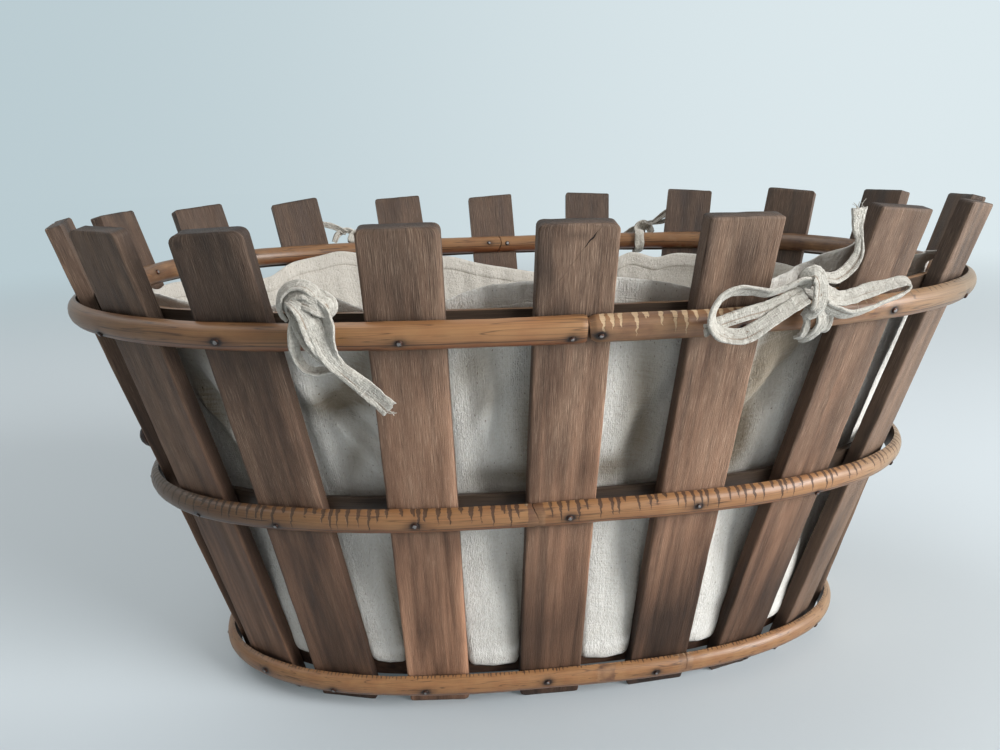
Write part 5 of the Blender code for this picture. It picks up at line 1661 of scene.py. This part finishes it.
class BASKET_OT_iron(bpy.types.Operator):
    """Drives the nails of the hoops and finishes the two rivets"""

    bl_idname = "basket.iron"
    bl_label = "Drive the nails"

    def execute(self, context):
        sizes = context.scene.basket_sizes
        iron = forged_iron(context.scene.basket_colours)
        for hoop, (height, rise, _) in OUTER_HOOPS.items():
            spots = []
            for along, higher in nails(hoop):
                point, _, out, up = (v[0] for v in climbed(wall(height, np.array([along])), rise))
                lift = higher / (HOOP_HEIGHT / 2)
                deep = HOOP_DEPTH * (1 - math.sqrt(1 - lift**2) ** 0.9)
                place = point - out * (deep + 0.1 * MM) + up * higher
                spots.append((place, out + up * 0.55 * lift))
            nail_heads(hoop + "_nails", spots, sizes.nail_head, iron)
        height, rise, _ = INNER_HOOPS["inner_hoop_rim"]
        spots = []
        for along, higher in INNER_NAILS:
            place = climbed(inside(height, np.array([along * MM]), np.array([CLEARANCE])), rise)
            point, _, out, up = (v[0] for v in place)
            spots.append((point - out * (INNER_HOOP_DEPTH - 0.2 * MM) + up * higher * MM, -out))
        nail_heads("inner_hoop_rim_nails", spots, sizes.nail_head, iron)
        for name in ("rivet_left", "rivet_right"):
            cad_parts[name].material_slots[0].material = iron
        return {"FINISHED"}


class BASKET_OT_floor(bpy.types.Operator):
    """Finishes the three floor boards"""

    bl_idname = "basket.floor"
    bl_label = "Lay the floor boards"

    def execute(self, context):
        wood = floor_board(context.scene.basket_colours)
        for index in range(3):
            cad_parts[f"floor_board_{index + 1}"].material_slots[0].material = wood
        return {"FINISHED"}


class BASKET_OT_bag(bpy.types.Operator):
    """Hangs the linen bag inside the inner hoops"""

    bl_idname = "basket.bag"
    bl_label = "Hang the bag"

    def execute(self, context):
        sizes, colours = context.scene.basket_sizes, context.scene.basket_colours
        cloth = linen(
            "unbleached bag linen", colours, colours.linen, colours.linen_shade, 1.2 * MM, 16 * MM,
            sizes.bag_hem,
        )
        places, cut, seam, shade_share = bag_places(560, 84, sizes.bag_hem)
        work = placed_sheet(places, cut, closed=True, layers={"seam": seam, "shade_share": shade_share})
        wall_piece = finish_piece(
            "bag_wall", work, cloth, ["liner_front_panel", "liner_back_panel"], smooth_under=180,
            thickness=sizes.bag_cloth,
        )
        # The bottom, in rings from the wall's foot to the middle, with soft folds
        ring = places[0]
        rings = np.linspace(1, 0, 16)[:, None, None]
        bottom = ring[None] * rings * np.array([1, 1, 0]) + np.array([0, 0, 1]) * ring[None, :, 2:3]
        folds = 0.5 * MM * (1 + waves(bottom[..., 0] * 6, bottom[..., 1] * 6, 17))
        bottom[..., 2] += folds * (rings[..., 0] < 1)
        work = placed_sheet(bottom, bottom[..., :2].copy(), closed=True)
        bottom_piece = finish_piece(
            "bag_bottom", work, cloth, ["liner_bottom"], smooth_under=180,
            thickness=sizes.bag_cloth,
        )
        return {"FINISHED"}


def backdrop(tree, direction, colours):
    """The share of rays that see the backdrop, and its colour that way: lighter by the window."""
    rays = add(tree, "LightPath").outputs
    seen = add(tree, "Math", {0: rays["Is Camera Ray"], 1: rays["Is Glossy Ray"]}, operation="MAXIMUM")
    seen = add(tree, "Math", {0: seen, 1: rays["Is Transmission Ray"]}, operation="MAXIMUM")
    level = add(tree, "VectorMath", {0: direction, 1: (1, 1, 0)}, operation="MULTIPLY")
    level = add(tree, "VectorMath", {0: level}, operation="NORMALIZE")
    across = add(tree, "SeparateXYZ", {"Vector": level})
    share = add(
        tree, "MapRange", {"Value": across.outputs[0], "From Min": -0.55, "From Max": 0.65},
        interpolation_type="SMOOTHSTEP",
    )
    dark, light = (*colours.backdrop_shade, 1), (*colours.backdrop, 1)
    return seen, add(tree, "Mix", {0: share, 6: dark, 7: light}, data_type="RGBA")


def set_camera(scene):
    """A camera that stands where the photograph was taken from."""
    yaw, pitch = CAMERA_YAW, CAMERA_PITCH
    ahead = Vector((
        math.sin(yaw) * math.cos(pitch), math.cos(yaw) * math.cos(pitch), -math.sin(pitch)
    ))
    right = Vector((math.cos(yaw), -math.sin(yaw), 0))
    up = right.cross(ahead)
    across = right * math.cos(CAMERA_ROLL) + up * math.sin(CAMERA_ROLL)
    upright = up * math.cos(CAMERA_ROLL) - right * math.sin(CAMERA_ROLL)
    data = bpy.data.cameras.new("camera")
    data.sensor_width = 36
    data.lens = CAMERA_PIXELS * data.sensor_width / 1000
    data.clip_start = 0.01
    camera = bpy.data.objects.new("camera", data)
    turned = Matrix((across, upright, -ahead)).transposed().to_4x4()
    camera.matrix_world = Matrix.Translation(CAMERA_PLACE) @ turned
    scene.collection.objects.link(camera)
    scene.camera = camera
    scene.view_settings.view_transform = "Standard"


def lay_table(scene, colours):
    """A matt white table, which fades into the wall far behind it."""
    work = bmesh.new()
    bmesh.ops.create_circle(work, cap_ends=True, segments=96, radius=14.0)
    mesh = bpy.data.meshes.new("table")
    work.to_mesh(mesh)
    work.free()
    table = bpy.data.objects.new("table", mesh)
    scene.collection.objects.link(table)
    made, tree, shader = begin("matt white table", Roughness=0.9, Specular_IOR_Level=0.1)
    place = add(tree, "TexCoord").outputs["Object"]
    # It is a little darker in front of the basket on the side away from the window
    apart = add(tree, "SeparateXYZ", {"Vector": place})
    ahead = add(
        tree, "MapRange", {"Value": apart.outputs[1], "From Min": -0.02, "From Max": -0.17},
        interpolation_type="SMOOTHSTEP",
    )
    aside = add(
        tree, "MapRange", {"Value": apart.outputs[0], "From Min": 0.4, "From Max": -0.05},
        interpolation_type="SMOOTHSTEP",
    )
    share = add(tree, "Math", {0: ahead, 1: aside}, operation="MULTIPLY")
    ground = add(
        tree, "Mix", {0: share, 6: (*colours.floor, 1), 7: (*colours.floor_shade, 1)}, data_type="RGBA"
    )
    join(tree, shader, Base_Color=ground)
    far = add(tree, "VectorMath", {0: place}, operation="LENGTH")
    # Near the basket, 12% of what the camera sees of the table is the wall's colour glowing: painted light
    # that lifts the shadows on it
    fade = {"Value": far, "From Min": 0.7, "From Max": 3.0, "To Min": 0.12}
    fade = add(tree, "MapRange", fade, interpolation_type="SMOOTHSTEP")
    seen, wall_colour = backdrop(tree, place, colours)
    wall_glow = add(tree, "Emission", {"Color": wall_colour, "Strength": 1.0})
    share = add(tree, "Math", {0: fade, 1: seen}, operation="MULTIPLY")
    mixed = add(tree, "MixShader", {0: share, 1: shader, 2: wall_glow})
    join(tree, tree.nodes["Material Output"], Surface=mixed)
    mesh.materials.append(made)


def light_scene(scene, colours):
    """A pale room, with a window at the right and a softer light from above."""
    world = bpy.data.worlds.new("studio")
    scene.world = world
    world.use_nodes = True
    tree = world.node_tree
    back = tree.nodes["Background"]
    back.inputs["Color"].default_value = (1.0, 0.98, 0.95, 1)
    back.inputs["Strength"].default_value = 0.25
    seen, wall_colour = backdrop(tree, add(tree, "TexCoord").outputs["Generated"], colours)
    seen_back = add(tree, "Background", {"Color": wall_colour, "Strength": 1.0})
    mixed = add(tree, "MixShader", {0: seen, 1: back, 2: seen_back})
    join(tree, tree.nodes["World Output"], Surface=mixed)

    for name, place, size, power, tint in (
        ("window", (2.0, -1.42, 1.0), 1.5, 97, (0.98, 0.99, 1.0)),
        ("ceiling", (-1.2, 0.3, 2.3), 2.4, 30, (0.96, 0.98, 1.0)),
    ):
        light = bpy.data.lights.new(name, "AREA")
        light.shape = "DISK"
        light.size = size
        light.energy = power
        light.color = tint
        lamp = bpy.data.objects.new(name, light)
        lamp.location = place
        lamp.rotation_euler = (Vector((0, 0, 0.15)) - Vector(place)).to_track_quat("-Z", "Y").to_euler()
        scene.collection.objects.link(lamp)


class BASKET_OT_stage(bpy.types.Operator):
    """Sets the camera, the lights, the pale table and the wall behind it"""

    bl_idname = "basket.stage"
    bl_label = "Set the stage"

    def execute(self, context):
        scene, colours = context.scene, context.scene.basket_colours
        set_camera(scene)
        lay_table(scene, colours)
        light_scene(scene, colours)
        return {"FINISHED"}


class BASKET_PT_panel(bpy.types.Panel):
    """Lists the basket's operators in the order that they run, then its sizes and colours"""

    bl_idname = "BASKET_PT_panel"
    bl_label = "Wooden basket"
    bl_space_type = "VIEW_3D"
    bl_region_type = "UI"
    bl_category = "Basket"

    def draw(self, context):
        for operator in OPERATORS:
            self.layout.operator(operator.bl_idname)
        for group in (context.scene.basket_sizes, context.scene.basket_colours):
            for key in group.__annotations__:
                self.layout.prop(group, key)


OPERATORS = (
    BASKET_OT_stage, BASKET_OT_ties, BASKET_OT_slats, BASKET_OT_hoops, BASKET_OT_iron, BASKET_OT_floor,
    BASKET_OT_bag,
)
CLASSES = (BasketSizes, BasketColours, *OPERATORS, BASKET_PT_panel)


def register():
    for each in CLASSES:
        bpy.utils.register_class(each)
    bpy.types.Scene.basket_sizes = bpy.props.PointerProperty(type=BasketSizes)
    bpy.types.Scene.basket_colours = bpy.props.PointerProperty(type=BasketColours)


def unregister():
    del bpy.types.Scene.basket_sizes
    del bpy.types.Scene.basket_colours
    for each in reversed(CLASSES):
        bpy.utils.unregister_class(each)


def main():
    register()
    bpy.ops.basket.stage()
    bpy.ops.basket.ties()
    bpy.ops.basket.slats()
    bpy.ops.basket.hoops()
    bpy.ops.basket.iron()
    bpy.ops.basket.floor()
    bpy.ops.basket.bag()


if __name__ == "__main__":
    main()
